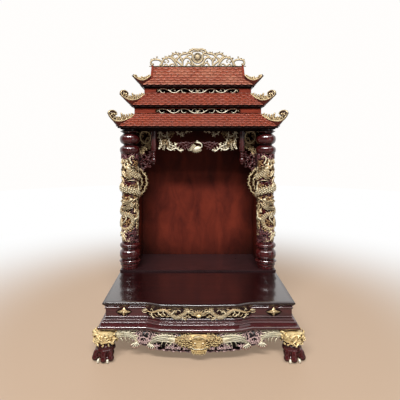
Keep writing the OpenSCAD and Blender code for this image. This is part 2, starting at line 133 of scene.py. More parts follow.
def evenly_round(count: int) -> np.ndarray:
    """Angles of a number of points round a circle, in radians."""
    return np.arange(count) * 2 * math.pi / count


@dataclass
class Shape:
    """Closed triangle mesh whose "relief" says how far each vertex stands out of its ground."""

    points: np.ndarray
    faces: np.ndarray
    relief: np.ndarray

    def mapped(self, surface: Surface) -> "Shape":
        """The shape laid on a surface, its third coordinate along the surface's outward side."""
        return Shape(surface(self.points), self.faces, self.relief)

    def mirrored(self, axes: Vec = (-1, 1, 1), shift: Vec = (0, 0, 0)) -> "Shape":
        """The shape's mirror image, on the other side of the altar's middle unless told otherwise.

        Args:
            axes: Factor on each coordinate, -1 for the one that changes sides.
            shift: How far the image is moved.

        Returns:
            The image, with its faces turned the right way.
        """
        return Shape(self.points * axes + shift, self.faces[:, ::-1], self.relief)

    def inside_out(self) -> "Shape":
        """The shape with every face turned round."""
        return Shape(self.points, self.faces[:, ::-1], self.relief)

    def toned(self, relief: float) -> "Shape":
        """The shape with one relief for all its points."""
        return Shape(self.points, self.faces, np.full(len(self.points), relief))

    def outward(self) -> "Shape":
        """The shape with its faces turned outwards."""
        corners = self.points[self.faces]
        volume = np.einsum("ij,ij->i", corners[:, 0], np.cross(corners[:, 1], corners[:, 2])).sum()
        return self if volume >= 0 else self.inside_out()


def joined(shapes: Iterable[Shape]) -> Shape:
    """Gathers shapes into one.

    Args:
        shapes: The shapes to gather, at least one.

    Returns:
        One shape that holds all their vertices and faces.
    """
    shapes = list(shapes)
    offsets = np.cumsum([0] + [len(s.points) for s in shapes[:-1]])
    return Shape(
        np.concatenate([s.points for s in shapes]),
        np.concatenate([s.faces + o for s, o in zip(shapes, offsets)]),
        np.concatenate([s.relief for s in shapes]),
    )


def both_sides(shape: Shape) -> Shape:
    """A shape together with its mirror image."""
    return joined([shape, shape.mirrored()])


def tube_faces(rings: int, sides: int) -> np.ndarray:
    """Triangles of a closed tube whose two cap points follow its rings.

    Args:
        rings: Number of rings.
        sides: Number of points in each ring.

    Returns:
        Vertex numbers, three for each triangle.
    """
    i, j = np.meshgrid(np.arange(rings - 1), np.arange(sides), indexing="ij")
    a = (i * sides + j).ravel()
    b = (i * sides + (j + 1) % sides).ravel()
    wall = np.concatenate([np.stack([a, b, b + sides], 1), np.stack([a, b + sides, a + sides], 1)])
    ring = np.arange(sides)
    after = (ring + 1) % sides
    head, tail = rings * sides, rings * sides + 1
    last = (rings - 1) * sides
    first_cap = np.stack([after, ring, np.full(sides, head)], 1)
    last_cap = np.stack([ring + last, after + last, np.full(sides, tail)], 1)
    return np.concatenate([wall, first_cap, last_cap])


def skinned(rings: Sequence[np.ndarray], caps: Sequence[Vec], relief: np.ndarray | float = 1.0) -> Shape:
    """A closed skin over a row of rings.

    Args:
        rings: The points of each ring, as many in each.
        caps: The points that close the first and the last ring.
        relief: Relief of each point, the two caps' last, or one value for all.

    Returns:
        The skin, with its faces outwards.
    """
    rings = np.asarray(rings, float)
    points = np.concatenate([rings.reshape(-1, 3), np.array(caps, float)])
    reliefs = relief if isinstance(relief, np.ndarray) else np.full(len(points), relief)
    return Shape(points, tube_faces(*rings.shape[:2]), reliefs).outward()


def flow(x: float, y: float, heading: float, length: float, bend: float = 0.0, curl: float = 0.0,
         steps: int = 12) -> np.ndarray:
    """A path that bends evenly and then curls ever tighter towards its end.

    Args:
        x: Start, across.
        y: Start, upwards.
        heading: First direction in degrees, counter-clockwise from the right.
        length: Length of the path.
        bend: Even turn over the whole path, in degrees.
        curl: Further turn that grows with the cube of the way along, in degrees.
        steps: Number of straight lines in the path.

    Returns:
        The path's points, one row each.
    """
    t = np.linspace(0, 1, steps + 1)
    angle = np.radians(heading + bend * t + curl * t ** 3)
    middle = (angle[1:] + angle[:-1]) / 2
    moves = np.stack([np.cos(middle), np.sin(middle)], 1) * length / steps
    return np.concatenate([[[x, y]], np.cumsum(moves, 0) + (x, y)])


def strand(path: np.ndarray, width: float, height: float, section: Section = Section.ROUND,
           taper: Taper = Taper.EVEN, base: float = 0.0) -> Shape:
    """A carved strand along a path on a flat ground.

    Args:
        path: Points of its middle line, across and upwards.
        width: Half of its greatest width.
        height: How far its top stands out.
        section: Form of its cross-section.
        taper: How its width runs along the path.
        base: Height of the ground that it stands on.

    Returns:
        The closed strand, with a third coordinate that points out of the ground.
    """
    count = len(path)
    t = np.linspace(0, 1, count)
    tangent = unit(np.gradient(path, axis=0))
    side = np.stack([tangent[:, 1], -tangent[:, 0]], 1)
    form = np.array(section.value, float)[::-1]
    share = taper.along(t)
    across = form[None, :, 0] * (width * share)[:, None]
    out = form[None, :, 1] * (height * np.sqrt(share))[:, None] + base
    flat = path[:, None, :] + side[:, None, :] * across[:, :, None]
    lift = base + height * 0.25
    relief = np.tile(np.clip(np.abs(form[:, 1]), 0, 1), count)
    return skinned(np.concatenate([flat, out[:, :, None]], 2), [[*path[0], lift], [*path[-1], lift]],
                   np.concatenate([relief, [0.5, 0.5]]))


def dome(x: float, y: float, radius: Vec, height: float, turn: float = 0.0, base: float = 0.0,
         rings: int = 3, sides: int = 10) -> Shape:
    """A low oval boss on a flat ground.

    Args:
        x: Middle, across.
        y: Middle, upwards.
        radius: Half of its two widths.
        height: How far it stands out.
        turn: Turn of the oval in degrees.
        base: Height of the ground that it stands on.
        rings: Number of rings from rim to top.
        sides: Number of points around.

    Returns:
        The closed boss.
    """
    tilt = np.linspace(-0.35, math.pi / 2 * 0.86, rings + 1)
    a, b = np.meshgrid(tilt, evenly_round(sides), indexing="ij")
    u = np.cos(a) * np.cos(b) * radius[0]
    v = np.cos(a) * np.sin(b) * radius[1]
    c, s = turned(turn)
    w = base + np.sin(a) * height
    relief = np.clip(np.sin(a), 0, 1).reshape(-1) * 0.6 + 0.4
    return skinned(np.stack([x + u * c - v * s, y + u * s + v * c, w], 2),
                   [[x, y, w.min()], [x, y, base + height]], np.concatenate([relief, [0.3, 1.0]]))


def plate(outline: np.ndarray, low: float, high: float, relief: float = 0.0) -> Shape:
    """A flat board with the given outline.

    Args:
        outline: Corners across and upwards, in order.
        low: Height of its lower face.
        high: Height of its upper face.
        relief: Relief value of all its corners.

    Returns:
        The closed board.
    """
    count = len(outline)
    flat = [(float(p[0]), float(p[1]), 0.0) for p in outline]
    cap = np.array(tessellate_polygon([flat]), int)
    floor = np.concatenate([outline, np.full((count, 1), low)], 1)
    top = np.concatenate([outline, np.full((count, 1), high)], 1)
    i = np.arange(count)
    j = (i + 1) % count
    corners = outline[cap]
    twice = np.cross(corners[:, 1] - corners[:, 0], corners[:, 2] - corners[:, 0])
    cap[twice < 0] = cap[twice < 0][:, ::-1]
    area = np.sum(outline[i, 0] * outline[j, 1] - outline[j, 0] * outline[i, 1])
    wall = np.concatenate([np.stack([i, j, j + count], 1), np.stack([i, j + count, i + count], 1)])
    if area < 0:
        wall = wall[:, ::-1]
    faces = np.concatenate([cap[:, ::-1], cap + count, wall])
    return Shape(np.concatenate([floor, top]), faces, np.full(2 * count, relief)).outward()


def lathe(profile: Sequence[Vec], x: float, y: float, sides: int = 64) -> Shape:
    """A turned solid round an upright axis.

    Args:
        profile: Radius and height of each point, from the foot to the head.
        x: Place of the axis.
        y: Place of the axis.
        sides: Number of points around.

    Returns:
        The closed solid.
    """
    around = evenly_round(sides)
    outline = np.array(profile, float)
    ring = np.stack([np.cos(around), np.sin(around)], 1)
    flat = outline[:, None, 0, None] * ring[None] + (x, y)
    height = np.repeat(outline[:, 1], sides).reshape(len(outline), sides, 1)
    return skinned(np.concatenate([flat, height], 2), [[x, y, outline[0, 1]], [x, y, outline[-1, 1]]])


def limb(path: Sequence[Vec], radii: Sequence[float], sides: int = 10) -> Shape:
    """A round limb through points in space, smoothed between them.

    Args:
        path: Points of its middle line in space.
        radii: Its radius at each point.
        sides: Number of points around.

    Returns:
        The closed limb, with rounded ends.
    """
    knots = np.array(path, float)
    steps = 5 * (len(knots) - 1) + 1
    line = rounded(knots, steps)
    radius = np.interp(np.linspace(0, len(knots) - 1, steps), np.arange(len(knots)), radii)
    tangent = unit(np.gradient(line, axis=0))
    angle = evenly_round(sides)
    up = np.array([0.0, 0.0, 1.0]) if abs(tangent[0, 2]) < 0.9 else np.array([0.0, 1.0, 0.0])
    rings = []
    for point, ahead, r in zip(line, tangent, radius):
        side = np.cross(ahead, up)
        side /= np.linalg.norm(side) + TINY
        up = np.cross(side, ahead)
        rings.append(point + r * (np.cos(angle)[:, None] * side + np.sin(angle)[:, None] * up))
    return skinned(rings, [line[0] - tangent[0] * radius[0] * 0.6, line[-1] + tangent[-1] * radius[-1] * 0.6])


def rounded(knots: np.ndarray, steps: int) -> np.ndarray:
    """Points along a smooth curve through the knots.

    Args:
        knots: The points that the curve passes through.
        steps: Number of points wanted.

    Returns:
        The curve's points, as many as wanted.
    """
    padded = np.concatenate([2 * knots[:1] - knots[1:2], knots, 2 * knots[-1:] - knots[-2:-1]])
    place = np.linspace(0, len(knots) - 1 - 1e-9, steps)
    i = place.astype(int)
    t = (place - i)[:, None]
    p0, p1, p2, p3 = (padded[i + k] for k in range(4))
    return 0.5 * (2 * p1 + (p2 - p0) * t + (2 * p0 - 5 * p1 + 4 * p2 - p3) * t ** 2
                  + (3 * p1 - p0 - 3 * p2 + p3) * t ** 3)


def ball(centre: Vec, radii: Vec, rings: int = 9, sides: int = 14) -> Shape:
    """An egg-shaped lump in space.

    Args:
        centre: Its middle.
        radii: Half of its three widths.
        rings: Number of rings from its foot to its top.
        sides: Number of points around.

    Returns:
        The closed lump.
    """
    steepest = math.pi / 2 * 0.9
    a, b = np.meshgrid(np.linspace(-steepest, steepest, rings), evenly_round(sides), indexing="ij")
    local = np.stack([np.cos(a) * np.cos(b), np.cos(a) * np.sin(b), np.sin(a)], 2)
    ends = np.array([[0, 0, -1], [0, 0, 1]], float)
    return skinned(local * radii + centre, ends * radii + centre)


def as_mesh(name: str, shape: Shape) -> bpy.types.Mesh:
    """Makes a mesh with the relief as a vertex attribute.

    Args:
        name: Name of the mesh.
        shape: What it holds.

    Returns:
        The mesh, smooth shaded.
    """
    mesh = bpy.data.meshes.new(name)
    mesh.from_pydata(shape.points.tolist(), [], shape.faces.tolist())
    mesh.attributes.new("relief", "FLOAT", "POINT").data.foreach_set("value", shape.relief.astype(np.float32))
    mesh.polygons.foreach_set("use_smooth", np.ones(len(mesh.polygons), bool))
    mesh.update()
    return mesh


def from_object(piece: bpy.types.Object) -> Shape:
    """Reads an object's mesh, its modifiers included, and deletes the object.

    Args:
        piece: The object to read.

    Returns:
        Its evaluated mesh as a shape.
    """
    graph = bpy.context.evaluated_depsgraph_get()
    mesh = bpy.data.meshes.new_from_object(piece.evaluated_get(graph))
    mesh.calc_loop_triangles()
    points = np.empty(len(mesh.vertices) * 3, np.float32)
    mesh.vertices.foreach_get("co", points)
    faces = np.empty(len(mesh.loop_triangles) * 3, np.int32)
    mesh.loop_triangles.foreach_get("vertices", faces)
    relief = np.ones(len(mesh.vertices), np.float32)
    if "relief" in mesh.attributes:
        mesh.attributes["relief"].data.foreach_get("value", relief)
    bpy.data.objects.remove(piece)
    bpy.data.meshes.remove(mesh)
    return Shape(points.reshape(-1, 3).astype(float), faces.reshape(-1, 3), relief)


def scratch_object(name: str, shape: Shape) -> bpy.types.Object:
    """Puts a shape into the scene as an object that is deleted again later."""
    piece = bpy.data.objects.new(name, as_mesh(name, shape))
    bpy.context.scene.collection.objects.link(piece)
    return piece


def blended(shapes: Iterable[Shape], voxel: float, smoothing: int, relief: float = 1.0) -> Shape:
    """Melts overlapping lumps into one skin.

    Args:
        shapes: The lumps.
        voxel: Size of the cells that the skin is made from.
        smoothing: Number of smoothing passes over the skin.
        relief: Relief of all its points.

    Returns:
        The closed skin.
    """
    piece = scratch_object("lumps", joined(shapes))
    remesh = piece.modifiers.new("skin", "REMESH")
    remesh.mode = "VOXEL"
    remesh.voxel_size = voxel
    smooth = piece.modifiers.new("smooth", "SMOOTH")
    smooth.iterations = smoothing
    return from_object(piece).toned(relief)


# ---------------------------------------------------------------- finishes


def tone(red: int, green: int, blue: int) -> tuple[float, ...]:
    """Turns a screen colour into the linear colour that shaders take.

    Args:
        red: Its red, from 0 to 255.
        green: Its green.
        blue: Its blue.

    Returns:
        The linear colour, opaque.
    """
    shares = [value / 255 for value in (red, green, blue)]
    return (*(s / 12.92 if s <= 0.04045 else ((s + 0.055) / 1.055) ** 2.4 for s in shares), 1.0)


BLACK = (0, 0, 0, 1)
WHITE = (1, 1, 1, 1)


class Wiring:
    """A node tree in the making, with short calls that add nodes and wire them."""

    def __init__(self, tree: bpy.types.NodeTree) -> None:
        """Takes up a tree."""
        self.tree = tree

    def feed(self, socket: bpy.types.NodeSocket, value: object) -> None:
        """Feeds an input.

        Args:
            socket: The input.
            value: Another node's output or a plain value.
        """
        if isinstance(value, bpy.types.NodeSocket):
            self.tree.links.new(value, socket)
        else:
            socket.default_value = value

    def add(self, kind: str, inputs: Optional[dict] = None, **settings: object) -> bpy.types.Node:
        """Adds a node.

        Args:
            kind: The node's type; "ShaderNode" before it may be left out.
            inputs: A value or another node's output for each input, by name or number.
            settings: Values of the node's own properties.

        Returns:
            The new node.
        """
        node = self.tree.nodes.new(kind if "Node" in kind else "ShaderNode" + kind)
        for name, value in settings.items():
            setattr(node, name, value)
        for name, value in (inputs or {}).items():
            self.feed(node.inputs[name], value)
        return node

    def maths(self, operation: str, *values: object, clamp: bool = False) -> bpy.types.NodeSocket:
        """Result of one sum.

        Args:
            operation: The sum's name.
            values: Plain values or other nodes' outputs.
            clamp: Whether the result is kept between 0 and 1.

        Returns:
            The result's socket.
        """
        return self.add("Math", dict(enumerate(values)), operation=operation, use_clamp=clamp).outputs[0]


class Web(Wiring):
    """A material's node tree."""

    def __init__(self, name: str) -> None:
        """Starts a material that holds only the surface shader.

        Args:
            name: The material's name.
        """
        self.material = bpy.data.materials.new(name)
        self.material.use_nodes = True
        super().__init__(self.material.node_tree)
        self.shader = self.tree.nodes["Principled BSDF"]

    def place(self, scale: Vec) -> bpy.types.NodeSocket:
        """The point on the object, stretched by scale."""
        point = self.add("TexCoord").outputs["Object"]
        return self.add("Mapping", {"Vector": point, "Scale": tuple(scale)}).outputs[0]

    def noise(self, place: bpy.types.NodeSocket, scale: float, detail: float = 5.0,
              distortion: float = 0.0) -> bpy.types.NodeSocket:
        """Cloudy values from 0 to 1.

        Args:
            place: Where the pattern is read.
            scale: How fine it is.
            detail: How many finer layers it has.
            distortion: How much it wanders.

        Returns:
            The value's socket.
        """
        return self.add("TexNoise", {"Vector": place, "Scale": scale, "Detail": detail, "Roughness": 0.6,
                                     "Distortion": distortion}).outputs["Fac"]

    def ramp(self, value: bpy.types.NodeSocket, stops: Sequence[tuple[float, tuple]]) -> bpy.types.NodeSocket:
        """Colours that follow a value.

        Args:
            value: The value that is followed.
            stops: Places from 0 to 1, each with its colour.

        Returns:
            The colour's socket.
        """
        node = self.add("ValToRGB", {"Fac": value})
        elements = node.color_ramp.elements
        for place, _ in stops[2:]:
            elements.new(place)
        for element, (place, colour) in zip(elements, sorted(stops)):
            element.position = place
            element.color = colour
        return node.outputs["Color"]

    def sums(self, operation: str, first: object, second: object) -> bpy.types.NodeSocket:
        """One sum of two values, clamped to the range from 0 to 1."""
        return self.maths(operation, first, second, clamp=True)

    def weighed(self, first: object, first_share: float, second: object,
                second_share: float) -> bpy.types.NodeSocket:
        """Sum of two values, each times its share."""
        return self.sums("ADD", self.sums("MULTIPLY", first, first_share),
                         self.sums("MULTIPLY", second, second_share))

    def between(self, value: object, low: float, high: float) -> bpy.types.NodeSocket:
        """A level that runs from low to high with a value from 0 to 1."""
        return self.add("MapRange", {"Value": value, "To Min": low, "To Max": high}).outputs[0]

    def relief(self) -> bpy.types.NodeSocket:
        """How far the surface stands out of its ground, as its mesh says."""
        return self.add("Attribute", attribute_name="relief", attribute_type="GEOMETRY").outputs["Fac"]

    def blend(self, share: object, first: object, second: object, way: str = "MIX") -> bpy.types.NodeSocket:
        """Mixes two colours.

        Args:
            share: How much of the second colour is taken.
            first: The first colour.
            second: The second colour.
            way: The blend type.

        Returns:
            The mixed colour's socket.
        """
        return self.add("Mix", {0: share, 6: first, 7: second}, data_type="RGBA", blend_type=way).outputs[2]

    def hollows(self, distance: float) -> bpy.types.NodeSocket:
        """How open the surface is, from 0 in deep hollows to 1 in the open; the finishes paint shade with it.
        """
        return self.add("AmbientOcclusion", {"Distance": distance}, samples=6).outputs["AO"]

    def wire(self, name: str, value: object) -> None:
        """Feeds one of the surface shader's inputs with a socket or a plain value."""
        self.feed(self.shader.inputs[name], value)

    def bump(self, height: bpy.types.NodeSocket, strength: float, depth: float) -> None:
        """Lets a value raise the surface.

        Args:
            height: The value.
            strength: How much of it shows.
            depth: Its real depth in metres.
        """
        self.wire("Normal", self.add("Bump", {"Height": height, "Strength": strength,
                                              "Distance": depth}).outputs[0])


@dataclass(frozen=True)
class WoodFinish:
    """Stained and polished wood with streaks along its grain, darkened by painted shade in its corners and
    hollows.
    """

    name: str
    light: tuple
    dark: tuple
    grain: Grain
    roughness: float = 0.3
    coat: float = 0.6
    coat_roughness: float = 0.1
    streaks: float = 110.0
    # How dark the painted shade in corners and hollows gets.
    hollow_shade: float = 0.55
    coat_ior: float = 1.5
    bloom: Optional[tuple] = None
    specular: float = 0.15
    # Colour of a painted highlight on rounded tile lips, mixed in where the relief is high.
    lip: Optional[tuple] = None
    # Reach of the painted shade in corners and hollows, in millimetres.
    corner: float = 18.0

    def build(self) -> bpy.types.Material:
        """Makes the material.

        Returns:
            The new material.
        """
        web = Web(self.name)
        place = web.place(self.grain.value)
        streaks = web.noise(place, self.streaks, 6, 0.6)
        clouds = web.noise(web.place((1, 1, 1)), 7, 3)
        pores = web.noise(place, self.streaks * 5, 3)
        colour = web.ramp(web.weighed(streaks, 0.75, clouds, 0.35), [(0.38, self.dark), (0.68, self.light)])
        if self.bloom:
            patches = web.ramp(web.noise(web.place((1, 1, 2)), 11, 2), [(0.42, BLACK), (0.62, WHITE)])
            colour = web.blend(web.sums("MULTIPLY", patches, 0.7), colour, self.bloom)
        # Painted highlight on the tiles' lips.
        if self.lip:
            colour = web.blend(web.sums("MULTIPLY", web.sums("POWER", web.relief(), 1.6), 0.5), colour,
                               self.lip)
        # Painted shade: the colour is darkened where the occlusion mask finds corners and hollows.
        painted_shade_grey = tone(*(round(255 * (1 - self.hollow_shade)),) * 3)
        shade = web.ramp(web.hollows(self.corner * MM), [(0.25, painted_shade_grey), (0.85, WHITE)])
        web.wire("Base Color", web.blend(1.0, colour, shade, "MULTIPLY"))
        web.wire("Roughness", web.between(clouds, self.roughness * 0.8, self.roughness * 1.25))
        for name, value in (("Coat Weight", self.coat), ("Coat Roughness", self.coat_roughness),
                            ("Coat IOR", self.coat_ior), ("Specular IOR Level", self.specular)):
            web.wire(name, value)
        web.bump(web.weighed(streaks, 0.5, pores, 0.5), 0.25, 0.25 * MM)
        return web.material


@dataclass(frozen=True)
class GiltFinish:
    """Rubbed gilding: pale on the ridges, toned in the folds and bare dark wood in the ground, with painted
    shade darkening its hollows.
    """

    name: str
    bright: tuple
    middle: tuple
    deep: tuple
    metallic: float = 0.65
    roughness: float = 0.36

    def build(self) -> bpy.types.Material:
        """Makes the material.

        Returns:
            The new material.
        """
        web = Web(self.name)
        place = web.place((1, 1, 1))
        patches = web.noise(place, 60, 5)
        specks = web.noise(place, 900, 3)
        # Painted shade: hollows found by ambient occlusion darken the colour and the metal.
        open_share = web.ramp(web.hollows(9 * MM), [(0.2, BLACK), (0.85, WHITE)])
        worn = web.weighed(web.relief(), 0.85, patches, 0.3)
        height = web.sums("MULTIPLY", worn, web.sums("ADD", web.sums("MULTIPLY", open_share, 0.7), 0.3))
        web.wire("Base Color", web.ramp(height, [(0.25, self.deep), (0.5, self.middle), (0.84, self.bright)]))
        web.wire("Metallic", web.ramp(height, [(0.16, BLACK), (0.34, (self.metallic,) * 3 + (1,))]))
        web.wire("Roughness", web.between(patches, self.roughness * 0.8, self.roughness * 1.3))
        web.bump(web.weighed(patches, 0.4, specks, 0.6), 0.3, 0.3 * MM)
        return web.material


ROSEWOOD_UPRIGHT = WoodFinish("rosewood_upright", tone(88, 28, 28), tone(42, 10, 12), Grain.UPRIGHT, 0.2,
                              0.9, 0.05, coat_ior=1.65)
ROSEWOOD_ALONG = WoodFinish("rosewood_along", tone(86, 27, 29), tone(44, 12, 15), Grain.ALONG, 0.24, 1.0,
                            0.045, coat_ior=1.9)
PLATFORM_TOP = WoodFinish("platform_top", tone(45, 15, 16), tone(24, 7, 9), Grain.ALONG, 0.3, 1.0, 0.1, 70,
                          coat_ior=1.8)
# Back panel and side walls: the long occlusion reach and strong darkening paint shade towards the panel's
# edges and corners.
PANEL_WOOD = WoodFinish("panel_wood", tone(118, 45, 29), tone(74, 24, 17), Grain.MOTTLED, 0.45, 0.05, 0.3,
                        16, 0.9, corner=170)
# Near-black matte wood; on the eave fascias and soffit decks its near-black is painted shade.
DARK_WOOD_AND_SHADE = WoodFinish("dark_wood_finish", tone(40, 16, 13), tone(20, 7, 6), Grain.ALONG, 0.7, 0.0, 0.3)
BOX_WOOD = WoodFinish("box_wood", tone(146, 60, 38), tone(92, 32, 22), Grain.ALONG, 0.42, 0.1, 0.25)
# Darker than the box wood: painted shade on the horn boards.
HORN_WOOD = WoodFinish("horn_wood", tone(98, 40, 28), tone(46, 17, 13), Grain.ALONG, 0.5, 0.1, 0.25)
FLOOR_WOOD = WoodFinish("cabinet_floor_finish", tone(60, 35, 37), tone(38, 22, 24), Grain.ALONG, 0.3, 0.7,
                        0.14, hollow_shade=0.2)
# Roof tiles: the lip colour is a painted highlight.
ROOF_WOOD = WoodFinish("roof_wood_finish", tone(155, 64, 39), tone(94, 33, 21), Grain.INWARD, 0.4, 0.22,
                       0.2, 90, 0.35, bloom=tone(138, 68, 54), lip=tone(222, 138, 118))
# A lighter copy of the roof wood for the top tier: painted sheen, with a brighter painted highlight on the
# lips.
SHEEN_ROOF_WOOD = WoodFinish("faded_roof_wood_finish", tone(164, 80, 56), tone(104, 42, 28), Grain.INWARD,
                             0.36, 0.3, 0.2, 90, 0.35, bloom=tone(168, 104, 80), lip=tone(232, 158, 134))
GILDING = GiltFinish("gilding", tone(238, 217, 172), tone(176, 142, 94), tone(46, 22, 15), 0.4)
PALE_GILDING = GiltFinish("pale_gilding", tone(252, 243, 218), tone(200, 178, 138), tone(56, 32, 24), 0.15,
                          0.34)
CREAM_GILDING = GiltFinish("cream_gilding", tone(255, 244, 208), tone(228, 192, 136), tone(74, 34, 18),
                           0.12, 0.36)
ARM_GILDING = GiltFinish("arm_gilding", tone(255, 248, 222), tone(242, 228, 188), tone(86, 58, 38), 0.05,
                         0.36)
RICH_GILDING = GiltFinish("rich_gilding", tone(252, 230, 174), tone(212, 174, 112), tone(70, 38, 20), 0.3,
                          0.38)
OLD_GILDING = GiltFinish("old_gilding", tone(186, 168, 134), tone(108, 86, 58), tone(30, 18, 12), 0.3, 0.42)
COLUMN_GILDING = GiltFinish("column_gilding", tone(204, 168, 116), tone(134, 88, 52), tone(30, 11, 9), 0.35,
                            0.4)
# Dark stained carving; its pink ridge tone is a painted highlight.
STAINED_HIGHLIT_CARVING = GiltFinish("stained_carving", tone(118, 68, 70), tone(66, 27, 30), tone(22, 8, 9), 0.0,
                             0.32)
# A darker copy of the stained carving for the brackets and lattice under the roof: painted shade, with a dim
# painted highlight on the ridges.
SHADED_CARVING = GiltFinish("shaded_carving", tone(92, 46, 46), tone(48, 19, 19), tone(14, 5, 5), 0.0, 0.34)
# Apron carving: its pale pink ridge tone is a painted highlight on the dark wood.
HIGHLIT_CARVING = GiltFinish("rubbed_carving", tone(216, 184, 178), tone(84, 42, 45), tone(12, 5, 6), 0.0,
                            0.34)
CLAW_TINT = GiltFinish("claw_tint", tone(246, 206, 188), tone(214, 160, 140), tone(96, 54, 44), 0.0, 0.3)


class Palette:
    """Every finish of the altar, each made once."""

    def __init__(self) -> None:
        """Starts with no material made."""
        self.made: dict[str, bpy.types.Material] = {}

    def get(self, finish: WoodFinish | GiltFinish) -> bpy.types.Material:
        """The material of a finish, made when it is first asked for."""
        if finish.name not in self.made:
            self.made[finish.name] = finish.build()
        return self.made[finish.name]


PALETTE = Palette()


def add_piece(name: str, shapes: Iterable[Shape], finish: WoodFinish | GiltFinish, slot: Slot,
              replaces: Sequence[str] = (), sharp: bool = False) -> bpy.types.Object:
    """Makes one visible piece of the altar.

    Args:
        name: The piece's name.
        shapes: What it is made of.
        finish: Its finish.
        slot: The record's slot that the finish stands for; not used.
        replaces: CAD nodes that the piece stands for.
        sharp: Whether edges between its faces stay crisp.

    Returns:
        The new object.
    """
    mesh = as_mesh(name, joined(shapes))
    if sharp:
        mesh.set_sharp_from_angle(angle=math.radians(32))
    piece = bpy.data.objects.new(name, mesh)
    bpy.context.scene.collection.objects.link(piece)
    mesh.materials.append(PALETTE.get(finish))
    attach(piece, "root")
    if replaces:
        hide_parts(*replaces)
    LOG.info("%s: %d triangles", name, len(mesh.polygons))
    return piece


def dress_node(node: str, finish: WoodFinish | GiltFinish) -> None:
    """Gives a CAD node its finish."""
    for slot in bpy.data.objects[node].material_slots:
        slot.material = PALETTE.get(finish)
    LOG.info("%s: CAD node dressed", node)


# ---------------------------------------------------------------- repeating pieces


class NodeRow(Wiring):
    """A Geometry Nodes tree."""

    def __init__(self, name: str, inputs: Sequence[tuple[str, str]]) -> None:
        """Starts a tree with named inputs.

        Args:
            name: The tree's name.
            inputs: Name and socket type of each input.
        """
        super().__init__(bpy.data.node_groups.new(name, "GeometryNodeTree"))
        self.sockets = {}
        for label, kind in [("Geometry", "NodeSocketGeometry"), *inputs]:
            self.sockets[label] = self.tree.interface.new_socket(label, in_out="INPUT", socket_type=kind)
        self.tree.interface.new_socket("Geometry", in_out="OUTPUT", socket_type="NodeSocketGeometry")
        self.start = self.tree.nodes.new("NodeGroupInput").outputs

    def finish(self, instances: bpy.types.NodeSocket) -> None:
        """Realizes the instances, sets their material and ends the tree."""
        real = self.add("GeometryNodeRealizeInstances", {0: instances}).outputs[0]
        dressed = self.add("GeometryNodeSetMaterial", {"Geometry": real, "Material": self.start["Material"]})
        self.feed(self.add("NodeGroupOutput").inputs[0], dressed.outputs[0])

    def run(self, base: Shape, values: dict[str, object], attributes: Optional[dict] = None) -> Shape:
        """Runs the tree on a shape's vertices.

        Args:
            base: The shape that carries the tree; it may have vertices only.
            values: A value for each named input.
            attributes: Values for each vertex, by name; rows of three make a vector.

        Returns:
            The tree's result as a plain shape.
        """
        piece = scratch_object("carrier", base)
        for name, rows in (attributes or {}).items():
            rows = np.asarray(rows, np.float32)
            kind, field_name = ("FLOAT_VECTOR", "vector") if rows.ndim == 2 else ("FLOAT", "value")
            piece.data.attributes.new(name, kind, "POINT").data.foreach_set(field_name, rows.ravel())
        modifier = piece.modifiers.new("nodes", "NODES")
        modifier.node_group = self.tree
        for name, value in values.items():
            modifier[self.sockets[name].identifier] = value
        return from_object(piece)


def tile_field_tree() -> NodeRow:
    """A tree that lays a field of tiles, each course shifted by half a tile.

    Returns:
        The tree, with inputs for the tile, the numbers and the pitches.
    """
    row = NodeRow("tile_field", [("Tile", "NodeSocketObject"), ("Columns", "NodeSocketInt"),
                                 ("Courses", "NodeSocketInt"), ("Width", "NodeSocketFloat"),
                                 ("Course", "NodeSocketFloat"), ("Material", "NodeSocketMaterial")])
    spans = [row.maths("MULTIPLY", row.maths("SUBTRACT", row.start[number], 1.0), row.start[pitch])
             for number, pitch in (("Columns", "Width"), ("Courses", "Course"))]
    grid = row.add("GeometryNodeMeshGrid", {"Size X": spans[0], "Size Y": spans[1],
                                            "Vertices X": row.start["Columns"],
                                            "Vertices Y": row.start["Courses"]})
    place = row.add("SeparateXYZ", {0: row.add("GeometryNodeInputPosition").outputs[0]})
    half_span = row.maths("MULTIPLY", spans[1], 0.5)
    course = row.maths("DIVIDE", row.maths("ADD", place.outputs[1], half_span), row.start["Course"])
    odd = row.maths("FLOORED_MODULO", row.maths("ROUND", course), 2.0)
    shift = row.maths("MULTIPLY", row.maths("MULTIPLY", odd, 0.5), row.start["Width"])
    lift = row.add("CombineXYZ", {0: shift, 1: half_span})
    points = row.add("GeometryNodeSetPosition", {"Geometry": grid.outputs[0], "Offset": lift.outputs[0]})
    tile = row.add("GeometryNodeObjectInfo", {"Object": row.start["Tile"]})
    laid = row.add("GeometryNodeInstanceOnPoints", {"Points": points.outputs[0],
                                                    "Instance": tile.outputs["Geometry"]})
    row.finish(laid.outputs[0])
    return row


def scatter_tree() -> NodeRow:
    """A tree that sets a small shape on each vertex, turned and sized by the vertex's attributes.

    Returns:
        The tree, with inputs for the shape and its overall size.
    """
    row = NodeRow("set_on_points", [("Shape", "NodeSocketObject"), ("Size", "NodeSocketFloat"),
                                    ("Material", "NodeSocketMaterial")])
    turn = row.add("GeometryNodeInputNamedAttribute", {"Name": "turn"}, data_type="FLOAT_VECTOR")
    grow = row.add("GeometryNodeInputNamedAttribute", {"Name": "grow"}, data_type="FLOAT")
    size = row.maths("MULTIPLY", grow.outputs["Attribute"], row.start["Size"])
    shape = row.add("GeometryNodeObjectInfo", {"Object": row.start["Shape"]})
    rotation = row.add("FunctionNodeEulerToRotation", {0: turn.outputs["Attribute"]})
    laid = row.add("GeometryNodeInstanceOnPoints", {
        "Points": row.start["Geometry"], "Instance": shape.outputs["Geometry"],
        "Rotation": rotation.outputs[0], "Scale": size})
    row.finish(laid.outputs[0])
    return row


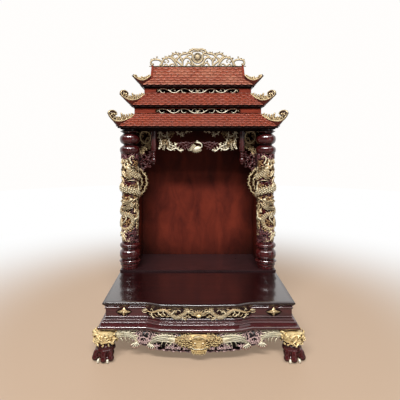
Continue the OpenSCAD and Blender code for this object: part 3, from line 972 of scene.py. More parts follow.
def set_on_points(shape: Shape, size: float, places: np.ndarray, headings: np.ndarray,
                  outs: np.ndarray, grow: Optional[np.ndarray] = None) -> Shape:
    """Sets copies of a small shape on points of a surface, by Geometry Nodes.

    Args:
        shape: The small shape, which points along +X and stands out along +Z.
        size: Factor on its size.
        places: Points in space, one row each.
        headings: Direction that each copy's +X points in.
        outs: Direction that each copy's +Z points in, roughly.
        grow: Further factor on the size of each copy.

    Returns:
        All copies as one shape.
    """
    ahead = unit(headings)
    side = unit(np.cross(outs, ahead))
    up = np.cross(ahead, side)
    turn = np.stack([np.arctan2(side[:, 2], up[:, 2]), np.arcsin(np.clip(-ahead[:, 2], -1, 1)),
                     np.arctan2(ahead[:, 1], ahead[:, 0])], 1)
    carrier = Shape(places, np.empty((0, 3), int), np.ones(len(places)))
    small = scratch_object("small", shape)
    grow = np.ones(len(places)) if grow is None else grow
    result = SCATTER.run(carrier, {"Shape": small, "Size": float(size)}, {"turn": turn, "grow": grow})
    bpy.data.objects.remove(small)
    return result


SCATTER = scatter_tree()
TILE_FIELD = tile_field_tree()


# ---------------------------------------------------------------- surfaces that carvings lie on


def facing(across: Vec, out: Vec, origin: Vec) -> Surface:
    """An upright plane.

    Args:
        across: The way in space that the shapes' first coordinate takes.
        out: The way that their third coordinate takes.
        origin: Where their origin lies.

    Returns:
        The function that lays points on it.
    """
    ways = np.array([across, (0, 0, 1), out], float)

    def lay(p: np.ndarray) -> np.ndarray:
        """Points on the plane for points on flat ground."""
        return p @ ways + origin

    return lay


def facing_front(depth: float, x: float = 0.0, z: float = 0.0) -> Surface:
    """An upright plane that faces the viewer, at a place along Y."""
    return facing((1, 0, 0), (0, -1, 0), (x, depth, z))


def facing_back(depth: float, x: float = 0.0, z: float = 0.0) -> Surface:
    """An upright plane that faces away from the viewer, at a place along Y."""
    return facing((-1, 0, 0), (0, 1, 0), (x, depth, z))


def facing_right(x: float, y: float = 0.0, z: float = 0.0) -> Surface:
    """An upright plane that faces the right side."""
    return facing((0, 1, 0), (1, 0, 0), (x, y, z))


def round_post(x: float, y: float, radius: float) -> Surface:
    """An upright cylinder, whose first coordinate runs round it from the front, towards the right.

    Args:
        x: Place of its axis.
        y: Place of its axis.
        radius: Its radius.

    Returns:
        The function that lays points on it.
    """
    def lay(p: np.ndarray) -> np.ndarray:
        """Points on the cylinder for points on flat ground."""
        angle = p[:, 0] / radius
        reach = radius + p[:, 2]
        return np.stack([x + reach * np.sin(angle), y - reach * np.cos(angle), p[:, 1]], 1)
    return lay


# ---------------------------------------------------------------- carved ornament


def chip() -> Shape:
    """One scale of a carved body: a low shingle that points along +X."""
    rim = np.array([(-0.7, 0, 0), (-0.3, 0.5, 0), (0.3, 0.44, 0.26), (0.75, 0, 0.4), (0.3, -0.44, 0.26),
                    (-0.3, -0.5, 0)], float)
    points = np.concatenate([rim, [(0.2, 0, 0.56), (0.0, 0, -0.2)]])
    ring = np.arange(6)
    after = (ring + 1) % 6
    faces = np.concatenate([np.stack([after, ring, np.full(6, 6)], 1),
                            np.stack([ring, after, np.full(6, 7)], 1)])
    return Shape(points, faces, np.array([0.3, 0.5, 0.75, 1.0, 0.75, 0.5, 1.0, 0.2])).outward()


def spine() -> Shape:
    """One fin of a carved back: a curved spike that points along +X."""
    return strand(flow(-0.2, 0, -8, 1.5, 38, steps=5), 0.34, 0.3, Section.RIDGE, Taper.HORN, -0.1)


def scroll(x: float, y: float, heading: float, size: float, hand: int, width: float, height: float,
           section: Section = Section.ROUND, turns: float = 400, base: float = 0.0) -> list[Shape]:
    """A strand that curls into a volute with an eye.

    Args:
        x: Start, across.
        y: Start, upwards.
        heading: First direction in degrees.
        size: Length of the strand.
        hand: 1 to curl counter-clockwise, -1 clockwise.
        width: Half of its width.
        height: How far it stands out.
        section: Form of its cross-section.
        turns: How far it curls, in degrees.
        base: Height of its ground.

    Returns:
        The strand and its eye.
    """
    path = flow(x, y, heading, size, hand * 40, hand * turns, 20 if size > 0.03 else 10)
    eye = path[-1]
    return [strand(path, width, height, section, Taper.VINE, base),
            dome(*eye, (width * 0.95,) * 2, height * 1.05, base=base, sides=6)]


def leaf(x: float, y: float, heading: float, length: float, width: float, height: float,
         bend: float = 30, base: float = 0.0, steps: int = 5) -> Shape:
    """One pointed leaf with a groove along its middle, placed as a flow and carved as a strand."""
    return strand(flow(x, y, heading, length, bend, steps=steps), width, height, Section.LEAF, Taper.LEAF,
                  base)


def flame(x: float, y: float, heading: float, length: float, width: float, height: float,
          bend: float = 60, base: float = 0.0) -> Shape:
    """One pointed tongue that bends to its tip, placed as a flow and carved as a strand."""
    return strand(flow(x, y, heading, length, bend, bend * 0.4, 5), width, height, Section.RIDGE,
                  Taper.HORN, base)


def acanthus(x: float, y: float, heading: float, length: float, width: float, height: float,
             hand: int, lobes: int = 4, base: float = 0.0) -> list[Shape]:
    """A large leaf whose lobes bend away from its stem.

    Args:
        x: Root, across.
        y: Root, upwards.
        heading: First direction in degrees.
        length: Length of the stem.
        width: Half of the leaf's width at its middle.
        height: How far it stands out.
        hand: 1 to curl counter-clockwise, -1 clockwise.
        lobes: Number of lobes on each side.
        base: Height of its ground.

    Returns:
        The stem and its lobes.
    """
    stem = flow(x, y, heading, length, hand * 50, hand * 110, 14)
    shapes = [strand(stem, width * 0.32, height, Section.RIDGE, Taper.HORN, base)]
    for side in (-1, 1):
        for k in range(lobes):
            share = 0.08 + 0.72 * k / lobes
            root = stem[round(share * 14)]
            turn = heading_of(stem[round(share * 14) + 1] - root)
            size = width * 2.1 * (1 - 0.45 * share)
            shapes.append(leaf(*root, turn + side * 42, size, width * 0.36, height * 0.85, -side * 34, base))
    return shapes


def tress(path: np.ndarray, width: float, height: float, locks: int, flick: float, base: float = 0.0,
          narrow: float = 0.4) -> list[Shape]:
    """Locks of hair side by side along a path, each flicked outwards at its tip.

    Args:
        path: Middle line of the tress.
        width: Half of its width at its root.
        height: How far it stands out.
        locks: Number of locks.
        flick: Turn of the outermost tips, in degrees.
        base: Height of its ground.
        narrow: Width at its end as a share of the width at its root.

    Returns:
        The locks.
    """
    count = len(path)
    tangent = unit(np.gradient(path, axis=0))
    side = np.stack([-tangent[:, 1], tangent[:, 0]], 1)
    shapes = []
    for k in range(locks):
        offset = 2 * k / (locks - 1) - 1
        last = round(count * (1 - 0.3 * abs(offset) - 0.14 * (k % 2)))
        first = round(count * 0.1 * (k % 3))
        spread = width * (1 - (1 - narrow) * np.linspace(0, 1, count))
        line = (path + side * (offset * spread)[:, None])[first:last]
        bend = flick * (offset if abs(offset) > 0.2 else 0.5)
        tip = flow(*line[-1], heading_of(line[-1] - line[-2]), width * 1.1, bend, 0, 5)
        whole = rounded(np.concatenate([line[::3], line[-1:], tip[2:]]), 16)
        shapes.append(strand(whole, width / locks * 1.25, height * (1 - 0.25 * abs(offset)), Section.RIDGE,
                             Taper.LEAF, base))
    return shapes


def band(x: np.ndarray, low: np.ndarray, high: np.ndarray, back: float, front: float,
         relief: float = 0.05) -> Shape:
    """A board between two edges, in steps across so that it can follow a bowed face.

    Args:
        x: Places across.
        low: Height of the lower edge at each place.
        high: Height of the upper edge at each place.
        back: Where its back lies.
        front: Where its face lies.
        relief: Value for its gilding.

    Returns:
        The closed board.
    """
    ends = ((low, back), (low, front), (high, front), (high, back))
    rings = np.stack([np.stack([x, edge, np.full(len(x), out)], 1) for edge, out in ends], 1)
    return skinned(rings, rings[[0, -1]].mean(1), relief)


def star(x: float, y: float, reach: Vec, waist: Vec, height: float) -> Shape:
    """A boss with four points and hollow sides between them.

    Args:
        x: Middle, across.
        y: Middle, upwards.
        reach: Length of its points, across and upwards.
        waist: Place of the corners between its points.
        height: How far its middle stands out.

    Returns:
        The closed boss.
    """
    a, b = reach
    c, d = waist
    rim = [(a, 0), (c, d), (0, b), (-c, d), (-a, 0), (-c, -d), (0, -b), (c, -d)]
    top = [(x + u * 0.96, y + v * 0.96, height * (0.3 if k % 2 == 0 else 0.18))
           for k, (u, v) in enumerate(rim)]
    foot = [(x + u, y + v, -height * 0.2) for u, v in rim]
    inner = [(x + u * 0.3, y + v * 0.3, height * (0.86 if k % 2 == 0 else 0.5))
             for k, (u, v) in enumerate(rim)]
    relief = np.array([0.2] * 8 + [0.75, 0.45] * 4 + [1.0, 0.5] * 4 + [0.2, 1.0])
    return skinned([foot, top, inner], [(x, y, -height * 0.2), (x, y, height)], relief)


def blossom(x: float, y: float, radius: float, height: float, petals: int = 6, turn: float = 0.0,
            base: float = 0.0, rings: int = 2) -> list[Shape]:
    """An open flower with rings of petals round a seed head.

    Args:
        x: Middle, across.
        y: Middle, upwards.
        radius: Reach of the outer petals.
        height: How far its middle stands out.
        petals: Number of petals in each ring.
        turn: Turn of the flower in degrees.
        base: Height of its ground.
        rings: Number of rings of petals, 1 or 2.

    Returns:
        Its petals and seed head.
    """
    shapes = []
    for ring, (reach, lift) in enumerate(((1.0, 0.0), (0.66, 0.3))[:rings]):
        for k in range(petals):
            angle = turn + (k + ring * 0.5) * 360 / petals
            c, s = turned(angle)
            root = radius * 0.12
            width = radius * reach * math.sin(math.pi / petals) * 0.72
            shapes.append(leaf(x + root * c, y + root * s, angle, radius * reach * 0.9, width,
                               height * 0.55, 0, base + lift * height, 3))
    shapes.append(dome(x, y, (radius * 0.22,) * 2, height * 0.9, base=base + height * 0.25, sides=8))
    return shapes


def cloud(x: float, y: float, size: float, heading: float, height: float, base: float = 0.0,
          trail: float = 0.0) -> list[Shape]:
    """A cloud of two facing curls, a cap between them and, if wanted, a trailing wisp.

    Args:
        x: Foot, across.
        y: Foot, upwards.
        size: Its width.
        heading: Direction from its foot to its cap, in degrees.
        height: How far it stands out.
        base: Height of its ground.
        trail: Length of the wisp behind its foot.

    Returns:
        Its curls, cap and wisp.
    """
    c, s = turned(heading)
    shapes = []
    for hand in (-1, 1):
        shapes += scroll(x, y, heading + hand * 48, size * 1.15, hand, size * 0.12, height, turns=330,
                         base=base)
    shapes.append(dome(x + c * size * 0.42, y + s * size * 0.42, (size * 0.2, size * 0.27), height * 0.9,
                       heading, base, sides=8))
    if trail:
        shapes.append(strand(flow(x, y, heading + 180, trail, 50, -90, 6), size * 0.11, height * 0.8,
                             Section.ROUND, Taper.HORN, base))
    return shapes


def talons(x: float, y: float, heading: float, size: float, height: float, base: float = 0.0) -> list[Shape]:
    """A clawed foot of four spread toes.

    Args:
        x: Ankle, across.
        y: Ankle, upwards.
        heading: Direction of the middle toes, in degrees.
        size: Length of the toes.
        height: How far it stands out.
        base: Height of its ground.

    Returns:
        Its toes and pad.
    """
    shapes = [dome(x, y, (size * 0.36, size * 0.3), height, heading, base, sides=10)]
    for spread, bend in ((-62, -50), (-20, -45), (24, -42), (150, 60)):
        shapes.append(flame(x, y, heading + spread, size, size * 0.17, height * 0.95, bend, base))
    return shapes


@dataclass
class Dragon:
    """A carved dragon in relief, from its tail through the knots to its head."""

    knots: Sequence[Vec]
    girth: float
    height: float
    face: float
    up: int = 1
    legs: Sequence[tuple[float, int]] = ((0.3, -1), (0.72, -1))
    base: float = 0.0
    scale_rows: int = 5
    path: np.ndarray = field(init=False)
    ahead: np.ndarray = field(init=False)
    side: np.ndarray = field(init=False)
    share: np.ndarray = field(init=False)

    def __post_init__(self) -> None:
        """Lays the body's middle line, the ways ahead and to its back, and its share of the full girth."""
        knots = np.array(self.knots, float)
        length = np.linalg.norm(np.diff(knots, axis=0), axis=1).sum()
        steps = max(40, round(length / (self.girth * 0.5)))
        t = np.linspace(0, 1, steps)
        self.path = rounded(knots, steps)
        self.share = np.clip(0.18 + 1.5 * t, 0, 1) * (1 - 0.25 * np.clip((t - 0.8) / 0.2, 0, 1))
        self.ahead = unit(np.gradient(self.path, axis=0))
        self.side = np.stack([-self.ahead[:, 1], self.ahead[:, 0]], 1) * self.up

    def shapes(self) -> list[Shape]:
        """Carves the dragon.

        Returns:
            Its body, scales, fins, legs, tail and head, on a flat ground.
        """
        return [self.body(), self.scales(), self.fins(), *self.limbs(), *self.tail(), *self.head()]

    def body(self) -> Shape:
        """The smooth body under the scales."""
        form = np.array(Section.ROUND.value, float)
        across = form[None, :, 0] * (self.girth * self.share)[:, None]
        out = form[None, :, 1] * (self.height * self.share)[:, None] + self.base
        flat = self.path[:, None] + self.side[:, None] * across[:, :, None]
        relief = np.tile(np.clip(form[:, 1], 0, 1) * 0.35 + 0.1, len(self.path))
        return skinned(np.concatenate([flat, out[:, :, None]], 2),
                       [[*self.path[0], self.base], [*self.path[-1], self.base]],
                       np.concatenate([relief, [0.3, 0.3]]))

    def scales(self) -> Shape:
        """Rows of scales over the body, each second row shifted by half a scale."""
        places, heads, outs, grow = [], [], [], []
        width = 2.0 / self.scale_rows
        for i in range(2, len(self.path) - 1):
            share = self.share[i]
            rows = self.scale_rows - i % 2
            for k in range(rows):
                a = (k - (rows - 1) / 2) * width * 0.92
                lift = math.sqrt(max(0.05, 1 - a * a))
                spot = self.path[i] + self.side[i] * a * self.girth * share
                places.append((*spot, self.base + self.height * share * lift))
                heads.append((*-self.ahead[i], 0.0))
                outs.append((*(self.side[i] * a), lift))
                grow.append(share)
        return set_on_points(chip(), self.girth * width * 0.95, np.array(places), np.array(heads),
                             np.array(outs), np.array(grow))

    def fins(self) -> Shape:
        """A row of fins along the back."""
        pick = np.arange(3, len(self.path) - 2, 2)
        spot = self.path[pick] + self.side[pick] * (self.girth * self.share[pick])[:, None] * 0.86
        places = np.concatenate([spot, np.full((len(pick), 1), self.base + self.height * 0.3)], 1)
        lean = self.side[pick] - self.ahead[pick] * 0.7
        heads = np.concatenate([lean, np.zeros((len(pick), 1))], 1)
        outs = np.tile((0.0, 0.0, 1.0), (len(pick), 1))
        return set_on_points(spine(), self.girth * 0.62, places, heads, outs, self.share[pick])

    def limbs(self) -> list[Shape]:
        """Legs with clawed feet and a flame at the elbow."""
        g, h, base = self.girth, self.height, self.base
        shapes = []
        for share, way in self.legs:
            i = int(share * (len(self.path) - 1))
            ahead, out = self.ahead[i], self.side[i] * way
            heading = heading_of(out)
            hand = 1 if out[0] * ahead[1] - out[1] * ahead[0] > 0 else -1
            thigh = flow(*(self.path[i] + out * g * 0.4), heading - hand * 30, g * 2.4, hand * 95, steps=8)
            shapes.append(strand(thigh, g * 0.42, h * 0.95, Section.ROUND, Taper.VINE, base))
            shapes += talons(*thigh[-1], heading + hand * 55, g * 1.15, h * 0.7, base)
            shapes.append(flame(*thigh[4], heading - hand * 70, g * 1.7, g * 0.22, h * 0.6, hand * 50, base))
        return shapes

    def tail(self) -> list[Shape]:
        """Three tongues that fan out at the tail's end."""
        heading = heading_of(self.path[0] - self.path[2])
        return [flame(*self.path[0], heading + a, self.girth * 2.2, self.girth * 0.3, self.height * 0.6,
                      -a * 1.2, self.base) for a in (-38, 0, 38)]

    def head(self) -> list[Shape]:
        """Jaws, brow, horns, whiskers and mane."""
        g, h = self.girth, self.height
        c, s = turned(self.face)
        up, neck = self.up, self.path[-1]

        def at(ahead: float, above: float) -> tuple[float, float]:
            """A point ahead of the neck and above it, in girths."""
            return (neck[0] + g * (ahead * c - above * up * s), neck[1] + g * (ahead * s + above * up * c))

        shapes = [dome(*at(0.5, 0.1), (g * 0.98, g * 0.74), h * 1.2, self.face, self.base),
                  strand(flow(*at(0.7, 0.3), self.face + up * 12, g * 2.1, -up * 30, up * 70), g * 0.5,
                         h * 1.25, Section.RIDGE, Taper.VINE, self.base),
                  strand(flow(*at(0.5, -0.4), self.face - up * 24, g * 1.7, up * 34, up * 50), g * 0.36,
                         h * 0.95, Section.ROUND, Taper.VINE, self.base),
                  dome(*at(1.1, 0.72), (g * 0.34, g * 0.26), h * 1.55, self.face, self.base, sides=8),
                  dome(*at(2.35, 0.66), (g * 0.3, g * 0.26), h * 1.45, self.face, self.base, sides=8)]
        for lift, turn, size in ((0.75, 150, 3.0), (0.95, 128, 2.3)):
            shapes.append(flame(*at(0.4, lift), self.face + up * turn, g * size, g * 0.24, h, up * 42,
                                self.base))
        for above, turn, size in ((0.62, 172, 1.5), (0.34, 180, 1.7), (0.06, 187, 1.7), (-0.22, 195, 1.5)):
            shapes.append(flame(*at(1.15, above), self.face + up * turn, g * size, g * 0.19, h * 1.45,
                                -up * 36, self.base))
        for k in range(6):
            angle = self.face + up * (150 + k * 24)
            shapes.append(flame(*at(-0.1, 0.25 - k * 0.12), angle, g * (2.3 - 0.1 * k), g * 0.3, h * 0.85,
                                -up * 46, self.base))
        for turn, size in ((20, 2.6), (-34, 2.2)):
            shapes += scroll(*at(2.0, 0.1), self.face + up * turn, g * size, up, g * 0.11, h * 0.7, turns=260,
                             base=self.base)
        return shapes


def flatten(groups: Iterable) -> list[Shape]:
    """Gathers shapes and lists of shapes into one list.

    Args:
        groups: Shapes and lists of them, in any depth.

    Returns:
        The shapes in order.
    """
    result: list[Shape] = []
    for group in groups:
        if isinstance(group, Shape):
            result.append(group)
        else:
            result += flatten(group)
    return result


# ---------------------------------------------------------------- base


@dataclass
class Base:
    """The low cabinet that the altar stands on: platform, frieze, mouldings, aprons and paws."""

    bow_half: float = 0.205
    bow_ease: float = 0.062
    bow_step: float = 0.016
    bow_arc: float = 0.008
    bow_steps: int = 28
    panel_half: float = 0.207
    panel_rise: float = 0.0255
    flower_inset: float = 0.082
    flower_rise: float = 0.0245
    foot_z: float = 0.069
    knee_radius: float = 0.0405
    mask_drop: float = 0.033
    mask_height: float = 0.0146
    half_w: float = field(init=False)
    front_y: float = field(init=False)
    back_y: float = field(init=False)
    board: tuple = field(init=False)
    frieze: tuple = field(init=False)
    frieze_in: float = field(init=False)

    def __post_init__(self) -> None:
        """Reads the sizes that the CAD settles."""
        low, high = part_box("platform_board")
        self.half_w = high.x
        self.back_y = high.y
        self.front_y = low.y + self.bow_step + self.bow_arc
        self.board = (low.z, high.z)
        low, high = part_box("frieze_front")
        self.frieze = (low.z, high.z)
        self.frieze_in = self.half_w - high.x

    def build(self) -> None:
        """Builds every piece of the base."""
        for part in (self.platform, self.mouldings, self.beads, self.frieze_panel, self.flowers,
                     self.aprons, self.knee_arms, self.mask, self.legs):
            part()
        for node in ("frieze_front", "frieze_sides", "frieze_back"):
            dress_node(node, ROSEWOOD_ALONG)
        dress_node("bottom_board", DARK_WOOD_AND_SHADE)

    def bow(self, x: np.ndarray) -> np.ndarray:
        """How far the front stands out at x."""
        ease = np.clip((self.bow_half - np.abs(x)) / self.bow_ease, 0, 1)
        arc = np.maximum(0, 1 - (x / self.bow_half) ** 2)
        return self.bow_step * ease * ease * (3 - 2 * ease) + self.bow_arc * arc

    def proud(self, node: str) -> float:
        """How far a bowed front node stands out past the platform's edge."""
        return self.front_y - self.bow_step - self.bow_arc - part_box(node)[0].y

    def front(self, out: float, z: float = 0.0) -> Surface:
        """The bowed front face.

        Args:
            out: How far it stands out past the platform's edge.
            z: Height of its origin.

        Returns:
            The function that lays points on it.
        """
        def lay(p: np.ndarray) -> np.ndarray:
            """Points on the bowed face for points on flat ground."""
            y = self.front_y - out - self.bow(p[:, 0]) - p[:, 2]
            return np.stack([p[:, 0], y, p[:, 1] + z], 1)
        return lay

    def outline(self, first: float, last: float) -> np.ndarray:
        """Edge in plan from x = first to x = last, with the corners and side edges that it reaches.

        Args:
            first: Where it starts; past the left corner it starts at the back.
            last: Where it ends; past the right corner it ends at the back.

        Returns:
            Points in plan, from left to right.
        """
        x = self.bow_half * np.linspace(-1, 1, self.bow_steps + 1)
        x = np.array([first] + [v for v in x if first < v < last] + [last])
        x = np.clip(x, -self.half_w, self.half_w)
        points = np.stack([x, self.front_y - self.bow(x)], 1).tolist()
        if first <= -self.half_w:
            points.insert(0, [-self.half_w, self.back_y])
        if last >= self.half_w:
            points.append([self.half_w, self.back_y])
        return np.array(points)

    def run(self, path: np.ndarray, profile: Sequence[Vec]) -> Shape:
        """Sweeps a moulding along a path in plan, mitred at its corners.

        Args:
            path: Points in plan, with the outer side on the right of the way.
            profile: Closed section as distance out of the path and height.

        Returns:
            The closed moulding.
        """
        ahead = np.diff(path, axis=0)
        ahead /= np.linalg.norm(ahead, axis=1, keepdims=True)
        outward = np.stack([ahead[:, 1], -ahead[:, 0]], 1)
        before = np.concatenate([outward[:1], outward])
        after = np.concatenate([outward, outward[-1:]])
        mitre = before + after
        mitre /= (1 + np.einsum("ij,ij->i", before, after))[:, None]
        form = np.array(profile, float)
        flat = path[:, None] + mitre[:, None] * form[None, :, 0, None]
        height = np.broadcast_to(form[None, :, 1, None], flat.shape[:2] + (1,))
        rings = np.concatenate([flat, height], 2)
        return skinned(rings, rings[[0, -1]].mean(1))

    def stacked(self, profile: Sequence[Vec]) -> Shape:
        """A solid board with the platform's outline and a moulded edge.

        Args:
            profile: Distance out of the outline and height, from the underside to the top.

        Returns:
            The closed board.
        """
        edge = self.outline(-1, 1)
        rings = []
        for out, z in profile:
            x = edge[:, 0] + np.sign(edge[:, 0]) * out * (np.abs(edge[:, 0]) > self.half_w - 1e-6)
            y = np.where(edge[:, 1] > 0, self.back_y, edge[:, 1] - out)
            rings.append(np.stack([x, y, np.full(len(x), z)], 1))
        return skinned(rings, [[0, 0, profile[0][1]], [0, 0, profile[-1][1]]])

    def platform(self) -> None:
        """The top board with its round nose."""
        low, top = self.board
        nose = ((-0.014, 0), (-0.0065, 0), (-0.0026, 0.1), (-0.0007, 0.28), (0, 0.46), (-0.0002, 0.72),
                (-0.0008, 0.84), (-0.0022, 0.94), (-0.0048, 1), (-0.016, 1))
        board = self.stacked([(out, low + (top - low) * share) for out, share in nose])
        add_piece("platform_top", [board], PLATFORM_TOP, Slot.ROSEWOOD, ["platform_board"], True)

    def mouldings(self) -> None:
        """The stepped and hollowed moulding below the frieze."""
        low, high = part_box("moulding_front")
        out = self.proud("moulding_front")

        def bead(centre: Vec, radius: float, tall: float, first: float, last: float) -> list[Vec]:
            """Points of a round bead.

            Args:
                centre: Its middle, out and up.
                radius: How far it reaches out of its middle.
                tall: How far it reaches up and down.
                first: Angle of its first point, in degrees.
                last: Angle of its last point.

            Returns:
                The points, upwards.
            """
            angles = np.radians(np.linspace(first, last, 9))
            return [(centre[0] + radius * math.cos(a), centre[1] + tall * math.sin(a)) for a in angles]

        ogee = [(-0.029, 0), (out - 0.0085, 0), (out - 0.0075, 0.0022), (out - 0.0052, 0.0042),
                *bead((out - 0.0062, 0.0118), 0.0062, 0.0072, -80, 84), (out - 0.0064, 0.0196),
                (out - 0.0088, 0.0202), (0.0058, 0.022), (0.0044, 0.0252), (0.0038, 0.0272),
                *bead((0.0018, 0.03), 0.0026, 0.0024, -70, 80), (0.0018, 0.0332), (-0.0028, 0.0336),
                (-0.003, 0.0362), *bead((-0.0052, 0.0378), 0.0018, 0.0014, -60, 80), (-0.0068, 0.0396),
                (-0.0078, high.z - low.z), (-0.029, high.z - low.z)]
        moulding = self.run(self.outline(-1, 1), [(reach, low.z + rise) for reach, rise in ogee])
        add_piece("foot_moulding", [moulding], ROSEWOOD_ALONG, Slot.ROSEWOOD,
                  ["moulding_front", "moulding_sides", "moulding_back"], True)

    def beads(self) -> None:
        """Cove under the platform and the half-round beads that frame the frieze."""
        low, high = self.frieze
        inset = -self.frieze_in
        cove = [(inset - 0.002, high), (-0.004, high), (-0.0052, high - 0.0018), (-0.0075, high - 0.0035),
                (-0.0092, high - 0.006), (inset + 0.0008, high - 0.009), (inset - 0.002, high - 0.009)]
        shapes = [self.run(self.outline(-1, 1), cove)]
        flower, clear = self.half_w - self.flower_inset, 0.0185
        stretches = ((-1, -flower - clear), (clear - flower, -self.panel_half),
                     (self.panel_half, flower - clear), (flower + clear, 1))
        for z, radius, runs in ((high - 0.0125, 0.0042, stretches), (low + 0.0052, 0.0032, ((-1, 1),))):
            angle = np.radians(np.linspace(-90, 90, 11))
            bead = [(inset - 0.002, z - radius)]
            bead += [(inset + radius * math.cos(a), z + radius * math.sin(a)) for a in angle]
            bead.append((inset - 0.002, z + radius))
            shapes += [self.run(self.outline(first, last), bead) for first, last in runs]
        add_piece("frieze_beads", shapes, ROSEWOOD_ALONG, Slot.ROSEWOOD, sharp=True)

    def frieze_panel(self) -> None:
        """Dark ground of the frieze's middle and the two dragons that face a pearl on it."""
        low = self.frieze[0]
        middle = low + self.panel_rise
        x = np.linspace(-self.panel_half, self.panel_half, 61)
        edge = np.clip((self.panel_half - np.abs(x)) / 0.014, 0, 1) ** 0.5
        surface = self.front(-self.frieze_in)
        panel = band(x, middle - 0.0035 - 0.0135 * edge, middle + 0.006 + 0.013 * edge, -0.004, 0.0006)
        panel = panel.mapped(surface)
        dragon = Dragon([(-0.205, 0.1835), (-0.19, 0.179), (-0.176, 0.181), (-0.163, 0.187),
                         (-0.1507, 0.192), (-0.134, 0.195), (-0.1177, 0.187), (-0.105, 0.177),
                         (-0.0935, 0.169), (-0.08, 0.1665), (-0.066, 0.173), (-0.054, 0.182),
                         (-0.043, 0.19)], 0.0073, 0.007, -14.0, 1,
                        ((0.13, -1), (0.3, -1), (0.42, -1), (0.6, 1), (0.84, -1)), 0.0006, 5)
        shapes = dragon.shapes()
        for x, z, heading, size, bend in ((-0.203, 0.178, 200, 0.02, -50), (-0.2, 0.187, 150, 0.018, 50),
                                          (-0.193, 0.172, -20, 0.02, 40), (-0.186, 0.188, 70, 0.017, -50),
                                          (-0.177, 0.186, 100, 0.014, 50), (-0.17, 0.176, -60, 0.016, 50),
                                          (-0.152, 0.18, -110, 0.014, 50), (-0.146, 0.172, -20, 0.018, 40),
                                          (-0.12, 0.176, -100, 0.015, -40), (-0.112, 0.171, -160, 0.016, -40),
                                          (-0.118, 0.194, 40, 0.015, -60), (-0.1, 0.188, 60, 0.015, -60),
                                          (-0.088, 0.187, 75, 0.013, -50), (-0.07, 0.188, 110, 0.015, 60),
                                          (-0.062, 0.168, -20, 0.018, 40), (-0.05, 0.171, 30, 0.016, -60),
                                          (-0.04, 0.178, -70, 0.018, -60), (-0.032, 0.186, -60, 0.02, 40),
                                          (-0.03, 0.168, 160, 0.014, 60), (-0.024, 0.197, 150, 0.014, 60)):
            shapes.append(flame(x, z, heading, size, 0.0019, 0.0052, bend, 0.0006))
        half = joined(shapes).mapped(surface)
        sink_half, flower_z = 0.033, low + self.flower_rise
        x = np.linspace(-sink_half, sink_half, 9)
        reach = 0.021 * (1 - np.abs(x) / sink_half) ** 0.8
        sink = band(x - self.half_w + self.flower_inset, flower_z - np.minimum(reach, 0.0155),
                    flower_z + reach, -0.002, 0.0004)
        pearl = dome(0, middle - 0.006, (0.0105, 0.0082), 0.0095, base=0.0006, rings=6, sides=20)
        rays = []
        for reach, count in ((0.0225, 8), (0.015, 7)):
            rays += [leaf(0.0085 * math.cos(a), middle - 0.005 + 0.0065 * math.sin(a), math.degrees(a),
                          reach * (0.66 + 0.34 * abs(math.cos(a))), 0.0023, 0.0072, 0, 0.0006)
                     for a in np.radians(np.linspace(176 / count - 14, 194 - 176 / count, count))]
        add_piece("frieze_ground", [panel, both_sides(sink.mapped(surface))], DARK_WOOD_AND_SHADE, Slot.DARK)
        add_piece("frieze_dragons", [half, half.mirrored(), joined(rays).mapped(surface)], CREAM_GILDING,
                  Slot.GILDING, ["frieze_carvings"])
        add_piece("frieze_pearl", [pearl.mapped(surface)], RICH_GILDING, Slot.GILDING)

    def flowers(self) -> None:
        """The four-petal flower at each end of the frieze, and one on each side."""
        middle = self.frieze[0] + self.flower_rise
        shapes = [star(0, 0, (0.0285, 0.0195), (0.0078, 0.0068), 0.0056),
                  dome(0, 0, (0.0046, 0.0046), 0.0072, sides=14, rings=5)]
        for angle, reach in ((0, 0.024), (90, 0.015), (180, 0.024), (270, 0.015)):
            c, s = turned(angle)
            for side in (-1, 1):
                shapes.append(leaf(c * 0.004, s * 0.004, angle + side * 17, reach * 0.72, 0.0026, 0.0052,
                                   -side * 20))
        flower = joined(shapes)
        inset, side_x = self.flower_inset, self.half_w - self.frieze_in
        places = (facing_front(self.front_y + self.frieze_in, -self.half_w + inset, middle),
                  facing_right(side_x, self.front_y + inset, middle),
                  facing_right(side_x, self.back_y - inset, middle))
        add_piece("frieze_flowers", [both_sides(flower.mapped(place)) for place in places], GILDING,
                  Slot.GILDING)

    def apron_depth(self, t: np.ndarray) -> np.ndarray:
        """Depth of an apron as a share of its greatest.

        Args:
            t: Shares of the way from a knee to the apron's middle.

        Returns:
            The depth at each share.
        """
        places = (0, 0.12, 0.165, 0.2, 0.235, 0.35, 0.46, 0.59, 0.71, 0.84, 1.0)
        depths = (0.27, 0.28, 0.36, 0.52, 0.66, 0.74, 0.81, 0.86, 0.89, 0.91, 0.94)
        lobes = np.where(t > 0.2, 0.055 * np.abs(np.sin((t - 0.2) / 0.8 * math.pi * 9)), 0)
        return np.interp(t, places, depths) + lobes

    def apron_edge(self, reach: float, drop: float) -> np.ndarray:
        """Outline of an apron between two knees: short arches, ogees and a lobed lower edge.

        Args:
            reach: Half of its length.
            drop: Its greatest depth.

        Returns:
            Corners across and upwards, with the top edge at height 0.
        """
        t = np.linspace(0, 1, 73)
        depth = drop * self.apron_depth(t)
        left = np.stack([-reach * (1 - t), -depth], 1)
        return np.concatenate([[(-reach, 0.0)], left, left[-2::-1] * (-1, 1), [(reach, 0.0)]])

